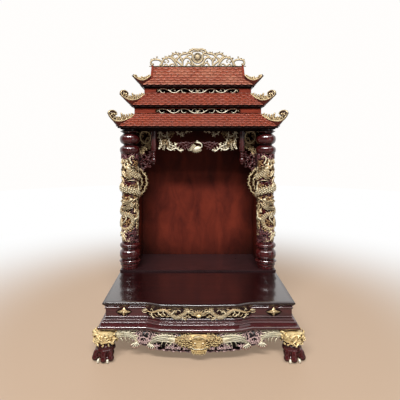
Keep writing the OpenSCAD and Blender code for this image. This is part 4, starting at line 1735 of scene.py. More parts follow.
    def cloud_bank(self, reach: float, drop: float, seed: int, spread: Vec = (0.16, 0.98),
                   gaps: Sequence[Vec] = (), scale: float = 1.0) -> list[Shape]:
        """Clouds that follow the lower edge of an apron's left half, with dark places above them where the
        near-black ground shows as painted shade in place of openings.

        Args:
            reach: Half of the apron's length.
            drop: Its greatest depth below the top edge at height 0.
            seed: Seed of the clouds' sizes and turns.
            spread: First and last share of the way from the knee to the middle.
            gaps: Middle and reach of each dark place, along and down.
            scale: Size of the clouds as a multiple of the usual.

        Returns:
            The clouds.
        """
        rng = random.Random(seed)
        shapes = []
        for share, step, open_share in ((0.84, 0.0205, 0.0), (0.54, 0.022, 0.1), (0.26, 0.023, 0.15),
                                        (0.08, 0.024, 0.2)):
            count = max(2, round(reach * (spread[1] - spread[0]) / step / scale))
            for k in range(count):
                t = spread[0] + (spread[1] - spread[0]) * (k + 0.5 + rng.uniform(-0.15, 0.15)) / count
                depth = drop * float(self.apron_depth(np.array(t)))
                x, v = -reach * (1 - t), -depth * share
                clear = any(((x - a) / c) ** 2 + ((v - b) / d) ** 2 < 1 for a, b, c, d in gaps)
                shallow = depth * share < 0.004 or depth < 0.45 * drop and share > 0.5
                if rng.random() < open_share or shallow or clear:
                    continue
                lowest = share > 0.8
                size = rng.uniform(0.0205, 0.0265) * scale
                heading = rng.choice((-90, -60, -120, -75)) if lowest else rng.uniform(0, 360)
                shapes += cloud(x, v + (size * 0.3 if lowest else 0), size, heading,
                                0.0072 if share > 0.5 else 0.0055, trail=size * 0.7)
                # Domes on the lowest lobes, whose tops take the painted highlight.
                if lowest:
                    shapes += [dome(x + size * a, v + size * b, (size * c, size * c * 0.85), 0.0088, sides=8)
                               for a, b, c in ((-0.1, 0.02, 0.22), (0.3, 0.16, 0.15), (-0.38, 0.2, 0.13))]
        return shapes

    def aprons(self) -> None:
        """Carved aprons under the moulding on all four sides."""
        low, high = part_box("apron_front")
        top, reach = high.z, high.x
        drop = (high.z - low.z) * 0.96
        surface = self.front(self.proud("apron_front") - 0.007, top)
        edge = self.apron_edge(reach, drop - 0.002)[1:-1]
        # The near-black ground stands in for openings in the fretwork: painted shade.
        ground = band(edge[:, 0], edge[:, 1], np.zeros(len(edge)), -0.008, 0.0, 0.0).mapped(surface)
        rim = strand(self.apron_edge(reach, drop)[1:-1], 0.0019, 0.0052, Section.ROUND).mapped(surface)
        # Lower relief gives the rim less painted highlight.
        rim.relief *= 0.5
        gaps = ((-0.215, -0.016, 0.022, 0.01), (-0.157, -0.031, 0.014, 0.008), (-0.132, -0.043, 0.014, 0.014),
                (-0.078, -0.044, 0.034, 0.008))
        half = self.cloud_bank(reach, drop, 2, (0.18, 0.93), gaps)
        # Beads along the lower edge; their relief sets how much painted highlight each takes.
        for k in range(11):
            t = 0.2 + 0.068 * k + 0.018 * (k % 3)
            half.append(dome(-reach * (1 - t), -drop * float(self.apron_depth(np.array(t))) * 0.985,
                             (0.0078 if k % 2 else 0.0056, 0.0036), 0.007))
            half[-1].relief *= 0.75 if k % 3 else 0.45
        half = joined(half).mapped(surface)
        add_piece("apron_ground", [ground, rim, half, half.mirrored()], HIGHLIT_CARVING, Slot.DARK,
                  ["apron_front"])
        low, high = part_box("apron_sides")
        middle, half_length, drop = (low.y + high.y) / 2, (high.y - low.y) / 2, (high.z - low.z) * 0.96
        # The side aprons' near-black ground is painted shade in place of openings.
        side = [plate(self.apron_edge(half_length, drop - 0.002), -0.008, 0.0),
                strand(self.apron_edge(half_length, drop)[1:-1], 0.0023, 0.0058),
                both_sides(joined(self.cloud_bank(half_length, drop, 5, scale=1.5))),
                *cloud(0, -drop * 0.5, 0.03, -90, 0.006)]
        shape = joined(side).mapped(facing_right(high.x - 0.008, middle, top))
        add_piece("apron_sides_carved", [both_sides(shape)], HIGHLIT_CARVING, Slot.DARK, ["apron_sides"])
        low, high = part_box("apron_back")
        edge = self.apron_edge(high.x, (high.z - low.z) * 0.96)
        board = plate(edge, -0.016, 0.0, 0.6).mapped(facing_back(self.back_y, 0, top))
        add_piece("apron_back_board", [board], DARK_WOOD_AND_SHADE, Slot.DARK, ["apron_back"], True)

    def knee_arms(self) -> None:
        """Gilded legs of the beasts at the knees and of the mask, that reach along the front apron."""
        surface = self.front(self.proud("apron_front") - 0.006)
        shapes, claws = [], []
        knee = [(-0.338, 0.096), (-0.308, 0.0985), (-0.283, 0.099), (-0.264, 0.0955), (-0.2515, 0.0875),
                (-0.2435, 0.0775), (-0.24, 0.067)]
        chest = [(-0.082, 0.0835), (-0.105, 0.0905), (-0.129, 0.0945), (-0.149, 0.0915), (-0.166, 0.084),
                 (-0.18, 0.074), (-0.1885, 0.0645)]
        spikes = {1: ((-0.31, 0.108, 60), (-0.294, 0.109, 50), (-0.278, 0.11, 35), (-0.262, 0.109, 20),
                      (-0.25, 0.1, 0), (-0.3, 0.09, -50), (-0.284, 0.092, -60), (-0.268, 0.09, -80)),
                  -1: ((-0.1, 0.107, 100), (-0.116, 0.109, 118), (-0.132, 0.108, 128), (-0.147, 0.103, 140),
                       (-0.16, 0.095, 160), (-0.104, 0.079, -150), (-0.12, 0.084, -130),
                       (-0.137, 0.086, -125))}
        for knots, hand, width, narrow, share, taper in ((knee, 1, 0.0102, 0.6, 0.95, Taper.EVEN),
                                                         (chest, -1, 0.0158, 0.42, 0.8, Taper.HORN)):
            arm = rounded(np.array(knots), 30)
            ground = strand(arm, width * share, 0.0066, Section.ROUND, taper)
            ground.relief *= 0.62
            shapes.append(ground)
            shapes += tress(arm, width, 0.0095, 8, hand * 45, 0.001, narrow)
            shapes += tress(arm[5:22], width * 0.8, 0.0108, 4, hand * 70, 0.0015, 0.7)
            shapes += [flame(x, v - 0.005, turn, 0.022, 0.003, 0.0085, hand * -35, 0.001)
                       for x, v, turn in spikes[hand]]
            x, v = arm[-1]
            for turn, bend, reach in ((-176, 40, 0.021), (-146, 30, 0.0195), (-112, 15, 0.0155),
                                      (-62, -25, 0.014), (-14, -55, 0.0145)):
                turn, bend = (turn, bend) if hand > 0 else (-180 - turn, -bend)
                toe = flow(x, v, turn, reach, bend)
                shapes.append(strand(toe, 0.0023, 0.0092, Section.ROUND, Taper.EVEN, 0.001))
                claws.append(leaf(*toe[-2], turn + bend, 0.0105, 0.0031, 0.0098, bend, 0.001))
            shapes.append(dome(x, v, (0.0054, 0.0046), 0.0105, base=0.001, sides=12))
        half, tips = joined(shapes).mapped(surface), joined(claws).mapped(surface)
        add_piece("apron_beast_arms", [half, half.mirrored()], ARM_GILDING, Slot.GILDING)
        add_piece("apron_beast_claws", [tips, tips.mirrored()], CLAW_TINT, Slot.GILDING)

    def mask(self) -> None:
        """The lion's face with its curled mane in the middle of the front apron."""
        low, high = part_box("apron_mask")
        back = high.y + 0.002
        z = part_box("apron_front")[1].z - self.mask_drop
        wide = (high.x - low.x) / 2

        def y(out: float) -> float:
            """Place along Y of a point that stands out of the mask's ground."""
            return back - out * 0.78

        lumps = [ball((0, y(0.004), z + 0.002), (0.029, 0.0078, 0.0235)),
                 ball((0, y(0.0055), z - 0.029), (0.0285, 0.006, 0.0112)),
                 ball((0, y(0.011), z - 0.003), (0.0075, 0.0035, 0.009)),
                 ball((0, y(0.0125), z - 0.0105), (0.0105, 0.0026, 0.0042)),
                 ball((0, y(0.008), z + 0.019), (0.013, 0.005, 0.008))]
        for side in (-1, 1):
            lumps += [ball((side * 0.015, y(0.0105), z + 0.0026), (0.0068, 0.0038, 0.0054)),
                      ball((side * 0.0185, y(0.0085), z - 0.0085), (0.0092, 0.0045, 0.0068)),
                      limb([(side * 0.004, y(0.0105), z + 0.0085), (side * 0.015, y(0.0118), z + 0.013),
                            (side * 0.027, y(0.0095), z + 0.0095)], [0.0034, 0.0044, 0.0024]),
                      limb([(0, y(0.011), z - 0.0185), (side * 0.016, y(0.0108), z - 0.0168),
                            (side * 0.034, y(0.0085), z - 0.0105)], [0.0032, 0.0034, 0.0018]),
                      limb([(0, y(0.0098), z - 0.0375), (side * 0.014, y(0.0095), z - 0.0352),
                            (side * 0.0265, y(0.0075), z - 0.0255)], [0.0028, 0.003, 0.0018])]
        face = blended(lumps, 0.0014, 1)
        face.points[:, 1] = np.maximum(face.points[:, 1], low.y + 0.0003)
        # Painted shade: the face's upper part gets a low relief, which darkens its lamp-lit top.
        face.relief[:] = 0.56 - 0.38 * np.clip((face.points[:, 2] - z - 0.012) / 0.008, 0, 1)
        plane = facing_front(back, 0, z)
        angle = np.radians(np.arange(0, 360, 10))
        mane = [plate(np.stack([(wide - 0.003) * np.cos(angle), 0.008 + 0.0245 * np.sin(angle)], 1), -0.001,
                      0.0028, 0.4)]
        rng = random.Random(11)
        for side in (-1, 1):
            for row in range(8):
                v = -0.016 + 0.0072 * row
                reach = (wide - 0.006) * math.sqrt(max(0.2, 1 - ((v - 0.008) / 0.027) ** 2))
                count = round((reach - 0.026) / 0.0074)
                for k in range(count):
                    u = 0.03 + (reach - 0.03) * (k + 0.4 * (row % 2)) / count
                    turn = math.degrees(math.atan2(v - 0.004, u)) * 1.3 + rng.uniform(-45, 45)
                    hand = 1 if (k + row) % 2 else -1
                    if side < 0:
                        turn, hand = 180 - turn, -hand
                    mane += scroll(side * u, v, turn, rng.uniform(0.011, 0.0145), hand, 0.0016,
                                   rng.uniform(0.0058, 0.0084), turns=300)
            for k in range(9):
                angle = math.radians(-62 + 14.5 * k)
                u, v = (wide - 0.016) * math.cos(angle), 0.008 + 0.02 * math.sin(angle)
                turn = math.degrees(angle) * 0.9
                mane.append(flame(side * u, v, turn if side > 0 else 180 - turn, 0.0165, 0.003, 0.006,
                                  (30 if k % 2 else -30) * side))
        mane += [dome(-0.0165 + 0.0055 * k, -0.0235 + 0.0009 * abs(k - 3), (0.0023, 0.0028), 0.0108, sides=8)
                 for k in range(7)]
        for row, count, wide_row, size in ((-0.0285, 8, 0.0275, 0.0038), (-0.0352, 7, 0.0255, 0.0042),
                                           (-0.0408, 6, 0.0205, 0.0034)):
            for k in range(count):
                u = wide_row * (2 * k / (count - 1) - 1)
                v = row + 0.0035 * (u / 0.0275) ** 2
                lower = 0.18 * abs(row + 0.0285)
                mane.append(dome(u, v, (size, size * 1.12), 0.0122 - lower, sides=12))
                mane += scroll(u, v + size * 0.5, 250 if u < 0 else -70, size * 2.1, 1 if u < 0 else -1,
                               0.0009, 0.0018, turns=300, base=0.0116 - lower)
        mane += [leaf(0, 0.018, 90 + a, 0.018, 0.0036, 0.0048, -a * 0.4, 0.0094)
                 for a in (-62, -30, 0, 30, 62)]
        for k in range(8):
            u = -0.0189 + 0.0054 * k
            mane += scroll(u, 0.0225 - 0.12 * abs(u), 90 - u * 2000, 0.0125, 1 if u < 0 else -1, 0.0017,
                           0.0062, turns=320, base=0.0078)
        mane += [leaf(u, 0.0145 - 0.2 * abs(u), 90 - u * 2600, 0.0085, 0.0021, 0.0036, u * 1500, 0.0112)
                 for u in (-0.017, -0.0115, -0.006, 0, 0.006, 0.0115, 0.017)]
        for side in (-1, 1):
            for u, v, turn, bend, size in ((0.006, 0.018, 60, 40, 0.014), (0.013, 0.017, 40, 40, 0.014),
                                           (0.02, 0.0145, 20, 30, 0.015), (0.012, -0.004, -10, -25, 0.018),
                                           (0.0125, -0.0075, -20, -25, 0.018), (0.024, 0.004, 10, 30, 0.014),
                                           (0.025, 0.0, -8, 20, 0.014), (0.006, -0.0145, -15, 20, 0.016),
                                           (0.022, -0.0125, -20, 35, 0.016), (0.003, 0.006, 80, -40, 0.01)):
                mane.append(flame(side * u, v, turn if side > 0 else 180 - turn, size, 0.0021, 0.0052,
                                  bend * side, 0.0094))
        for shape in mane:
            shape.points[:, 2] = np.minimum(shape.points[:, 2], self.mask_height)
        trim = [dome(side * 0.015, 0.0026, (0.0047, 0.004), 0.0148, sides=12) for side in (-1, 1)]
        lip = np.array([(-0.0325, -0.0105), (-0.024, -0.016), (-0.012, -0.0195), (0, -0.0185),
                        (0.012, -0.0195), (0.024, -0.016), (0.0325, -0.0105)])
        brow = np.array([(-0.019, 0.0245), (-0.01, 0.0272), (0, 0.028), (0.01, 0.0272), (0.019, 0.0245)])
        trim += [strand(rounded(lip, 30), 0.0012, 0.005, Section.ROUND, Taper.LEAF, 0.0095),
                 strand(rounded(brow, 24), 0.001, 0.004, Section.ROUND, Taper.LEAF, 0.0095)]
        add_piece("lion_mask", [face, joined(mane).mapped(plane)], RICH_GILDING, Slot.GILDING, ["apron_mask"])
        add_piece("lion_mask_trim", [joined(trim).mapped(plane)], ARM_GILDING, Slot.GILDING)

    def legs(self) -> None:
        """Four paws with claws under gilded beasts' heads."""
        for place, toes_at in (("front_left", -122.5), ("front_right", -57.5), ("back_left", 180),
                               ("back_right", 0)):
            self.leg(place, toes_at)

    def leg(self, place: str, toes_at: float) -> None:
        """Builds one leg.

        Args:
            place: Which leg it is, such as front_left.
            toes_at: Direction of the middle of its toes, in degrees from +X.
        """
        front = place.startswith("front")
        hand = -1 if place.endswith("left") else 1
        x = hand * (self.half_w - 0.013)
        y = self.front_y + 0.004 if front else self.back_y - 0.04845
        spread = (-84, -29, 32, 76) if front else (-66, -22, 22, 66)
        turn = [toes_at - a * hand for a in spread]
        lumps = [ball((x, y, 0.071), (0.0345, 0.0345, 0.012)), ball((x, y, 0.056), (0.036, 0.036, 0.015)),
                 ball((x, y, 0.045), (0.0395, 0.0395, 0.0105)), ball((x, y, 0.026), (0.0335, 0.0335, 0.026)),
                 ball((x, y, 0.011), (0.03, 0.03, 0.0108))]
        claws = []

        def toe(angle: float, reach: float, height: float) -> Vec:
            """A point of a toe.

            Args:
                angle: The toe's direction in degrees from +X.
                reach: Distance from the leg's middle; a front paw's outer toes reach further.
                height: Height over the floor.

            Returns:
                The point in space.
            """
            c, s = turned(angle)
            reach *= 1.14 if front and abs(s) < 0.66 else 1.0
            return (x + c * reach, y + s * reach, height)

        for angle in turn:
            lumps += [limb([toe(angle, 0.024, 0.045), toe(angle, 0.0315, 0.036), toe(angle, 0.0345, 0.026),
                            toe(angle, 0.0345, 0.017)], [0.0088, 0.0106, 0.0106, 0.0112], 12),
                      ball(toe(angle, 0.0355, 0.0165), (0.0134, 0.0134, 0.0128))]
        for angle in [(a + b) / 2 for a, b in zip(turn, turn[1:])]:
            claws.append(limb([toe(angle, 0.032, 0.0135), toe(angle, 0.0395, 0.0125),
                               toe(angle, 0.0418, 0.0068), toe(angle, 0.0405, 0.003)],
                              [0.0036, 0.005, 0.0046, 0.0028], 10))
        paw = blended(lumps, 0.0024, 6)
        paw.points[:, 2] = np.maximum(paw.points[:, 2], 0.0)
        for piece in [paw, *claws]:
            piece.points[:, 1] = np.clip(piece.points[:, 1], -self.back_y, self.back_y)
        add_piece("paw_" + place, [paw], ROSEWOOD_UPRIGHT, Slot.ROSEWOOD, ["leg_" + place])
        add_piece("claws_" + place, claws, PALE_GILDING, Slot.GILDING)
        self.knee_head(place, x, y, toes_at)

    def knee_head(self, place: str, x: float, y: float, toes_at: float) -> None:
        """The gilded beast's head that covers a knee.

        Args:
            place: Which leg it is.
            x: Middle of the leg.
            y: Middle of the leg.
            toes_at: Direction of the leg's toes.
        """
        top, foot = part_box("leg_" + place)[1].z, self.foot_z
        z = (top + foot) / 2
        lumps = [ball((x, y, z), (0.041, 0.041, 0.0235)), ball((x, y, z + 0.0085), (0.0425, 0.0425, 0.0105)),
                 ball((x, y, z - 0.0125), (0.0395, 0.0395, 0.0095))]
        rng = random.Random(len(place))
        out = turned(toes_at)
        side = (-out[1], out[0])

        def at(reach: float, across: float, up: float) -> tuple[float, float, float]:
            """A point of the face.

            Args:
                reach: Distance from the leg's middle.
                across: Distance from the face's middle line.
                up: Height over the face's middle.

            Returns:
                The point in space.
            """
            return (x + out[0] * reach + side[0] * across, y + out[1] * reach + side[1] * across, z + up)

        lumps += [ball(at(0.036, 0, -0.004), (0.0095, 0.0095, 0.0085)),
                  ball(at(0.04, 0, -0.0105), (0.007, 0.007, 0.0045))]
        for hand in (-1, 1):
            lumps += [ball(at(0.035, hand * 0.0125, 0.0035), (0.0058, 0.0058, 0.005)),
                      ball(at(0.034, hand * 0.0145, -0.0125), (0.0068, 0.0068, 0.005)),
                      limb([at(0.038, hand * 0.005, 0.0085), at(0.036, hand * 0.0145, 0.0125),
                            at(0.031, hand * 0.025, 0.009)], [0.0038, 0.0046, 0.0024])]
        for _ in range(22):
            angle = toes_at + rng.uniform(-150, 150) if place.startswith("front") else rng.uniform(0, 360)
            c, s = turned(angle)
            up = rng.uniform(-0.017, 0.02)
            bend = rng.choice((-1, 1)) * 0.014
            start = np.array((x + c * 0.037, y + s * 0.037, z + up))
            mid = start + (c * 0.006 - s * bend, s * 0.006 + c * bend, 0.004)
            end = mid + (-s * bend, c * bend, -0.009)
            lumps.append(limb([start, mid, end], [0.0042, 0.0044, 0.0016], 8))
        head = blended(lumps, 0.0018, 1, 0.66)
        locks = []
        for row, (height, count, size) in enumerate(((top - 0.009, 13, 0.017), (z + 0.001, 12, 0.016),
                                                      (foot + 0.006, 13, 0.015))):
            for k in range(count):
                u = (k + 0.5 * (row % 2)) / count * 2 * math.pi * self.knee_radius
                hand = 1 if (k + row) % 2 else -1
                locks += scroll(u, height, 90 * (1 - row) + rng.uniform(-40, 40), size, hand, 0.0023, 0.0062,
                                turns=300)
        lock = joined(locks).mapped(round_post(x, y, self.knee_radius))
        for shape in (head, lock):
            shape.points[:, 1] = np.minimum(shape.points[:, 1], self.back_y - 0.0002)
        add_piece("knee_beast_" + place, [head, lock], RICH_GILDING, Slot.GILDING)


# ---------------------------------------------------------------- cabinet


def two_faced(shapes: Iterable) -> Shape:
    """Openwork that is carved alike on its front and its back.

    Args:
        shapes: Flat-backed shapes that stand on the ground 0.

    Returns:
        The shapes and their mirror images behind the ground.
    """
    front = joined(flatten(shapes))
    return joined([front, front.mirrored((1, 1, -1))])


def twig(knots: Sequence[Vec], width: float, height: float, knob: float = 1.5) -> list[Shape]:
    """A branch through the knots with a bud at its end.

    Args:
        knots: Points that it runs through.
        width: Half of its width.
        height: How far it stands out.
        knob: Radius of the bud as a multiple of its half width, or 0 for none.

    Returns:
        The branch and its bud.
    """
    path = rounded(np.array(knots, float), 6 * len(knots)) if len(knots) > 2 else np.array(knots, float)
    shapes = [strand(path, width, height, Section.ROUND, Taper.EVEN)]
    if knob:
        shapes.append(dome(path[-1][0], path[-1][1], (width * knob,) * 2, height * 1.3, sides=9))
    return shapes


def sprigs(knots: Sequence[Vec], size: float) -> list[Shape]:
    """Small leaves on alternate sides of a twig.

    Args:
        knots: Points that the twig runs through.
        size: Length of a leaf.

    Returns:
        The leaves.
    """
    length = sum(math.dist(a, b) for a, b in zip(knots, knots[1:]))
    steps = max(5, round(length / (size * 0.6)))
    line = rounded(np.array(knots), steps)
    shapes = []
    for k in range(1, steps - 1):
        heading = heading_of(line[k + 1] - line[k - 1])
        hand = 1 if k % 2 else -1
        shapes.append(leaf(*line[k], heading + 58 * hand, size, size * 0.25, 0.0066, 40 * hand))
    return shapes


def rippled(knots: Sequence[Vec], swing: float, waves: int) -> np.ndarray:
    """A path through the knots that swings from side to side.

    Args:
        knots: Points that it runs through.
        swing: How far it swings to either side.
        waves: Number of its waves.

    Returns:
        The points of the path.
    """
    path = rounded(np.array(knots), 9 * waves)
    ahead = unit(np.gradient(path, axis=0))
    side = np.stack([ahead[:, 1], -ahead[:, 0]], 1)
    return path + side * swing * np.sin(np.linspace(0, waves * 2 * math.pi, len(path)))[:, None]


@dataclass
class Cabinet:
    """The niche between base and roof: columns, panels, brackets and hanging carvings."""

    shaft: float = 0.034
    ball: float = 0.0495
    ledge: float = 0.0515
    column: tuple = field(init=False)
    foot: float = field(init=False)
    head: float = field(init=False)

    def __post_init__(self) -> None:
        """Reads the sizes that the CAD settles."""
        low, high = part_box("column_left")
        self.column = ((low.x + high.x) / 2, (low.y + high.y) / 2)
        self.foot, self.head = low.z, high.z

    def build(self) -> None:
        """Builds every piece of the cabinet."""
        for part in (self.columns, self.clouds, self.dragons, self.brackets, self.pendants, self.valance):
            part()
        for node in ("side_walls", "back_panel"):
            dress_node(node, PANEL_WOOD)
        dress_node("cabinet_floor", FLOOR_WOOD)
        dress_node("lintel", DARK_WOOD_AND_SHADE)
        dress_node("ceiling_board", DARK_WOOD_AND_SHADE)

    def turned_ball(self, low: float, high: float, neck: float, big: float) -> list[Vec]:
        """Profile of a ball with a narrow step near its top.

        Args:
            low: Height of its foot.
            high: Height of its top.
            neck: Radius at both ends.
            big: Greatest radius.

        Returns:
            Radius and height of each point, upwards.
        """
        points = []
        for angle in range(0, 181, 9):
            c, s = turned(angle)
            step = 0.0 if angle < 128 else 0.0022
            points.append((max(neck, neck + (big - neck) * s - step), low + (high - low) * (1 - c) / 2))
            if angle == 126:
                points.append((points[-1][0] - 0.0018, points[-1][1] + 0.0003))
        return points

    def columns(self) -> None:
        """The two turned columns, with their profile as radius and height in millimetres."""
        h = (self.head - self.foot) / MM
        s, waist, neck = self.shaft / MM, self.shaft / MM + 4, self.shaft / MM - 4
        ledge = self.ledge / MM
        foot = [(0, 0), (40, 0), (41, 1), (41, 13), (42.6, 14), (45, 16), (45.8, 19.5), (45, 23.4),
                (43.2, 24.8), (43.2, 26), (45, 27), (46.6, 29), (47, 31), (49, 32.4), (ledge, 34),
                (ledge, 36), (49.5, 37.4), (46.5, 38), (46.2, 39.2), (47.2, 40.2), (46.4, 41.6), (41, 43),
                (waist, 45)]
        middle = [(waist, 93), (39.4, 94), (39.8, 95.4), (38.8, 96.6), (39, 98.4), (43.6, 101), (47, 105),
                  (48.6, 110), (48.4, 115), (46, 119), (41, 122), (36, 125), (s, 129), (s, h - 124),
                  (s - 1, h - 123)]
        rest = [(neck, h - 76), (neck + 3, h - 75.4), (neck + 3.4, h - 74.2), (neck + 0.6, h - 73)]
        cap = [(neck, h - 20.4), (s, h - 19), (s + 1, h - 17.6), (42, h - 13.4), (46, h - 11.2),
               (46.8, h - 9), (46, h - 6.8), (40, h - 5), (waist, h - 4), (waist, h), (0, h)]
        balls = [self.turned_ball(a * MM, b * MM, n * MM, self.ball) for a, b, n in
                 ((46, 92, waist), (h - 122, h - 77, neck), (h - 72, h - 21, neck))]
        scaled = [[(r * MM, z * MM) for r, z in part] for part in (foot, middle, rest, cap)]
        profile = scaled[0] + balls[0] + scaled[1] + balls[1] + scaled[2] + balls[2] + scaled[3]
        shape = lathe([(r, z + self.foot) for r, z in profile], *self.column, sides=72)
        for side, column in (("left", shape), ("right", shape.mirrored())):
            add_piece(f"column_{side}_turned", [column], ROSEWOOD_UPRIGHT, Slot.ROSEWOOD,
                      ["column_" + side], True)

    def around(self, degrees: float) -> float:
        """Length round the shaft at an angle from its front."""
        return math.radians(degrees) * self.shaft

    def clouds(self) -> None:
        """Clouds and waves that are carved round the shafts: dark at head and foot, gilded between."""
        rng = random.Random(21)
        dark, gold = [], []
        low, high = self.foot + 0.13, self.head - 0.118
        rows = 15
        bare = ((-18, 40, 0.618, 0.652), (-12, 50, 0.476, 0.52), (20, 75, 0.42, 0.46))
        for row in range(rows):
            z = low + (high - low) * (row + 0.35) / rows
            for k in range(8):
                angle = 45 * (k + 0.5 * (row % 2)) + rng.uniform(-10, 10) - 160
                if any(a < angle < b and c < z < d for a, b, c, d in bare):
                    continue
                size = rng.uniform(0.022, 0.029)
                turn = rng.choice((70, 90, 110, -90, 30, 150))
                ends = row < 2 and angle > -40 or row > rows - 2
                if ends or (row + 2 * k) % 4 == 0:
                    dark += cloud(self.around(angle), z, size * 1.15, turn, 0.0105 if ends else 0.0065,
                                  trail=size * 1.2)
                else:
                    shapes = cloud(self.around(angle), z, size, turn, rng.uniform(0.006, 0.0085), trail=size)
                    for shape in shapes:
                        shape.relief *= 0.72
                    gold += shapes
        for turn in (-20, 18, 62, 110, 200, 265):
            dark += scroll(self.around(turn), self.head - 0.142, 100, 0.062, -1 if turn % 4 else 1, 0.0042,
                           0.0115, turns=420)
        for turn, z, size in ((12, 0.352, 0.055), (44, 0.392, 0.05), (86, 0.36, 0.05), (150, 0.38, 0.05),
                              (215, 0.36, 0.05), (270, 0.385, 0.045)):
            dark += acanthus(self.around(turn), z - 0.006, 95, size, 0.013, 0.0135, 1 if turn % 4 else -1)
        surface = round_post(*self.column, self.shaft - 0.0006)
        for tint, carving, finish, slot in (("dark", dark, STAINED_HIGHLIT_CARVING, Slot.DARK),
                                            ("gilded", gold, COLUMN_GILDING, Slot.GILDING)):
            add_piece(f"column_{tint}_clouds", [both_sides(joined(flatten(carving)).mapped(surface))],
                      finish, slot)

    def dragons(self) -> None:
        """The gilded dragons that climb round the shafts."""
        around = self.around
        knots = [(-14, 0.364), (-52, 0.361), (-88, 0.378), (-97, 0.402), (-72, 0.42), (-20, 0.421),
                 (22, 0.437), (30, 0.466), (4, 0.489), (-40, 0.493), (-82, 0.502), (-120, 0.52),
                 (-165, 0.544), (-215, 0.566), (-262, 0.583), (-310, 0.598), (-360, 0.609), (-405, 0.612),
                 (-450, 0.62), (-500, 0.638), (-550, 0.652), (-605, 0.66), (-650, 0.667), (-692, 0.685),
                 (-724, 0.708)]
        dragon = Dragon([(around(a), z) for a, z in knots], 0.0166, 0.0138, 118.0, -1,
                        ((0.12, 1), (0.3, 1), (0.5, -1), (0.62, 1), (0.9, 1)), 0.0006, 4)
        shapes = dragon.shapes()
        for knots, width, locks, flick in (
                (((48, 0.702), (26, 0.689), (4, 0.673), (-14, 0.663)), 0.0125, 5, 40),
                (((-64, 0.704), (-40, 0.69), (-18, 0.668)), 0.0078, 3, -30),
                (((50, 0.549), (16, 0.533), (-20, 0.52), (-52, 0.523)), 0.013, 6, 50),
                (((-62, 0.556), (-30, 0.548), (0, 0.553), (28, 0.562)), 0.0095, 4, -50),
                (((-8, 0.727), (-36, 0.718), (-64, 0.706)), 0.0085, 4, 60),
                (((-66, 0.402), (-40, 0.388), (-22, 0.366)), 0.0115, 4, 40),
                (((-70, 0.645), (-50, 0.632), (-34, 0.614)), 0.006, 3, -40),
                (((-66, 0.477), (-76, 0.45), (-66, 0.424)), 0.007, 3, 30)):
            path = rounded(np.array([(around(a), z) for a, z in knots]), 20)
            shapes += tress(path, width, 0.0132, locks, flick, 0.0015, 0.55)
        for k in range(15):
            hand = (-1) ** k
            shapes.append(leaf(around(66 + 5 * hand), 0.385 + 0.0135 * k, 90 + 38 * hand, 0.0165, 0.0027,
                               0.0105, -40 * hand))
        shapes += scroll(around(-46), 0.448, 40, 0.075, 1, 0.0034, 0.014, turns=330)
        shapes += talons(around(14 - 360), 0.563, -40, 0.022, 0.0105)
        shapes += talons(around(-40), 0.548, -120, 0.02, 0.0095)
        for angle, z, heading, size in ((36, 0.69, 130, 0.05), (22, 0.678, 140, 0.045),
                                        (6, 0.668, 150, 0.05), (-60, 0.694, -20, 0.04),
                                        (-70, 0.672, -35, 0.036), (48, 0.652, 160, 0.04),
                                        (-30, 0.742, 60, 0.034), (-62, 0.735, 100, 0.03),
                                        (56, 0.566, 200, 0.03), (30, 0.545, 215, 0.034),
                                        (-8, 0.54, 150, 0.03), (62, 0.52, 120, 0.03), (-70, 0.55, 60, 0.03),
                                        (40, 0.5, 60, 0.024)):
            shapes.append(flame(around(angle), z, heading, size, 0.0042, 0.0125, 40 if angle > 0 else -40))
        for k in range(14):
            shapes += scroll(around(90 + 17 * k), 0.44 + 0.021 * k, 60 * k, 0.034, 1 if k % 2 else -1, 0.0026,
                             0.0085, turns=320)
        shapes += scroll(around(22), 0.735, 120, 0.075, -1, 0.0036, 0.0125, turns=430)
        shape = joined(flatten(shapes)).mapped(round_post(*self.column, self.shaft + 0.0004))
        for side, coil in (("left", shape), ("right", shape.mirrored())):
            add_piece("column_dragon_" + side, [coil], CREAM_GILDING, Slot.GILDING, ["dragon_" + side])

    def brackets(self) -> None:
        """The fretted brackets beside the columns: gilded loops and beads, dark clouds between."""
        low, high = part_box("column_brackets")
        outer, top = low.x, high.z
        gold, dark = [], []
        loop = [(-0.285, top - 0.006), (-0.249, top - 0.012), (-0.237, top - 0.034), (-0.243, top - 0.058),
                (-0.263, top - 0.068), (-0.284, top - 0.052), (-0.289, top - 0.028), (-0.279, top - 0.008)]
        gold += twig(loop, 0.0042, 0.006, 0)
        gold += scroll(-0.262, top - 0.066, 90, 0.062, -1, 0.003, 0.006, turns=330)
        gold += sprigs(loop, 0.0135)
        gold += blossom(-0.252, top - 0.042, 0.0085, 0.0066, 5, 20)
        gold += blossom(-0.276, top - 0.03, 0.0075, 0.0066, 5, 50)
        for k, (x, z, heading, size) in enumerate((
                (-0.284, 0.83, 60, 0.03), (-0.245, 0.838, -110, 0.04), (-0.262, 0.828, -100, 0.045),
                (-0.28, 0.818, -60, 0.04), (-0.268, 0.806, -115, 0.036), (-0.258, 0.84, -70, 0.04),
                (-0.275, 0.792, -90, 0.03), (-0.288, 0.8, -120, 0.026))):
            gold += acanthus(x, z, heading, size, 0.0085, 0.0068, 1 if k % 2 else -1, 3)
        for x, z, size, heading in ((-0.286, 0.778, 0.034, -80), (-0.258, 0.764, 0.036, -60),
                                    (-0.283, 0.742, 0.034, -100), (-0.254, 0.728, 0.034, -120),
                                    (-0.28, 0.71, 0.032, -70), (-0.236, 0.744, 0.024, -30),
                                    (-0.242, 0.778, 0.022, 10)):
            dark += cloud(x, z, size, heading, 0.006, trail=0.02)
        outer_loop = [(-0.299, 0.706), (-0.284, 0.697), (-0.268, 0.678), (-0.2575, 0.652), (-0.258, 0.626),
                      (-0.268, 0.6), (-0.287, 0.578), (-0.301, 0.566)]
        inner_loop = [(-0.301, 0.683), (-0.289, 0.669), (-0.281, 0.648), (-0.282, 0.624), (-0.29, 0.602),
                      (-0.301, 0.592)]
        for line in (outer_loop, inner_loop):
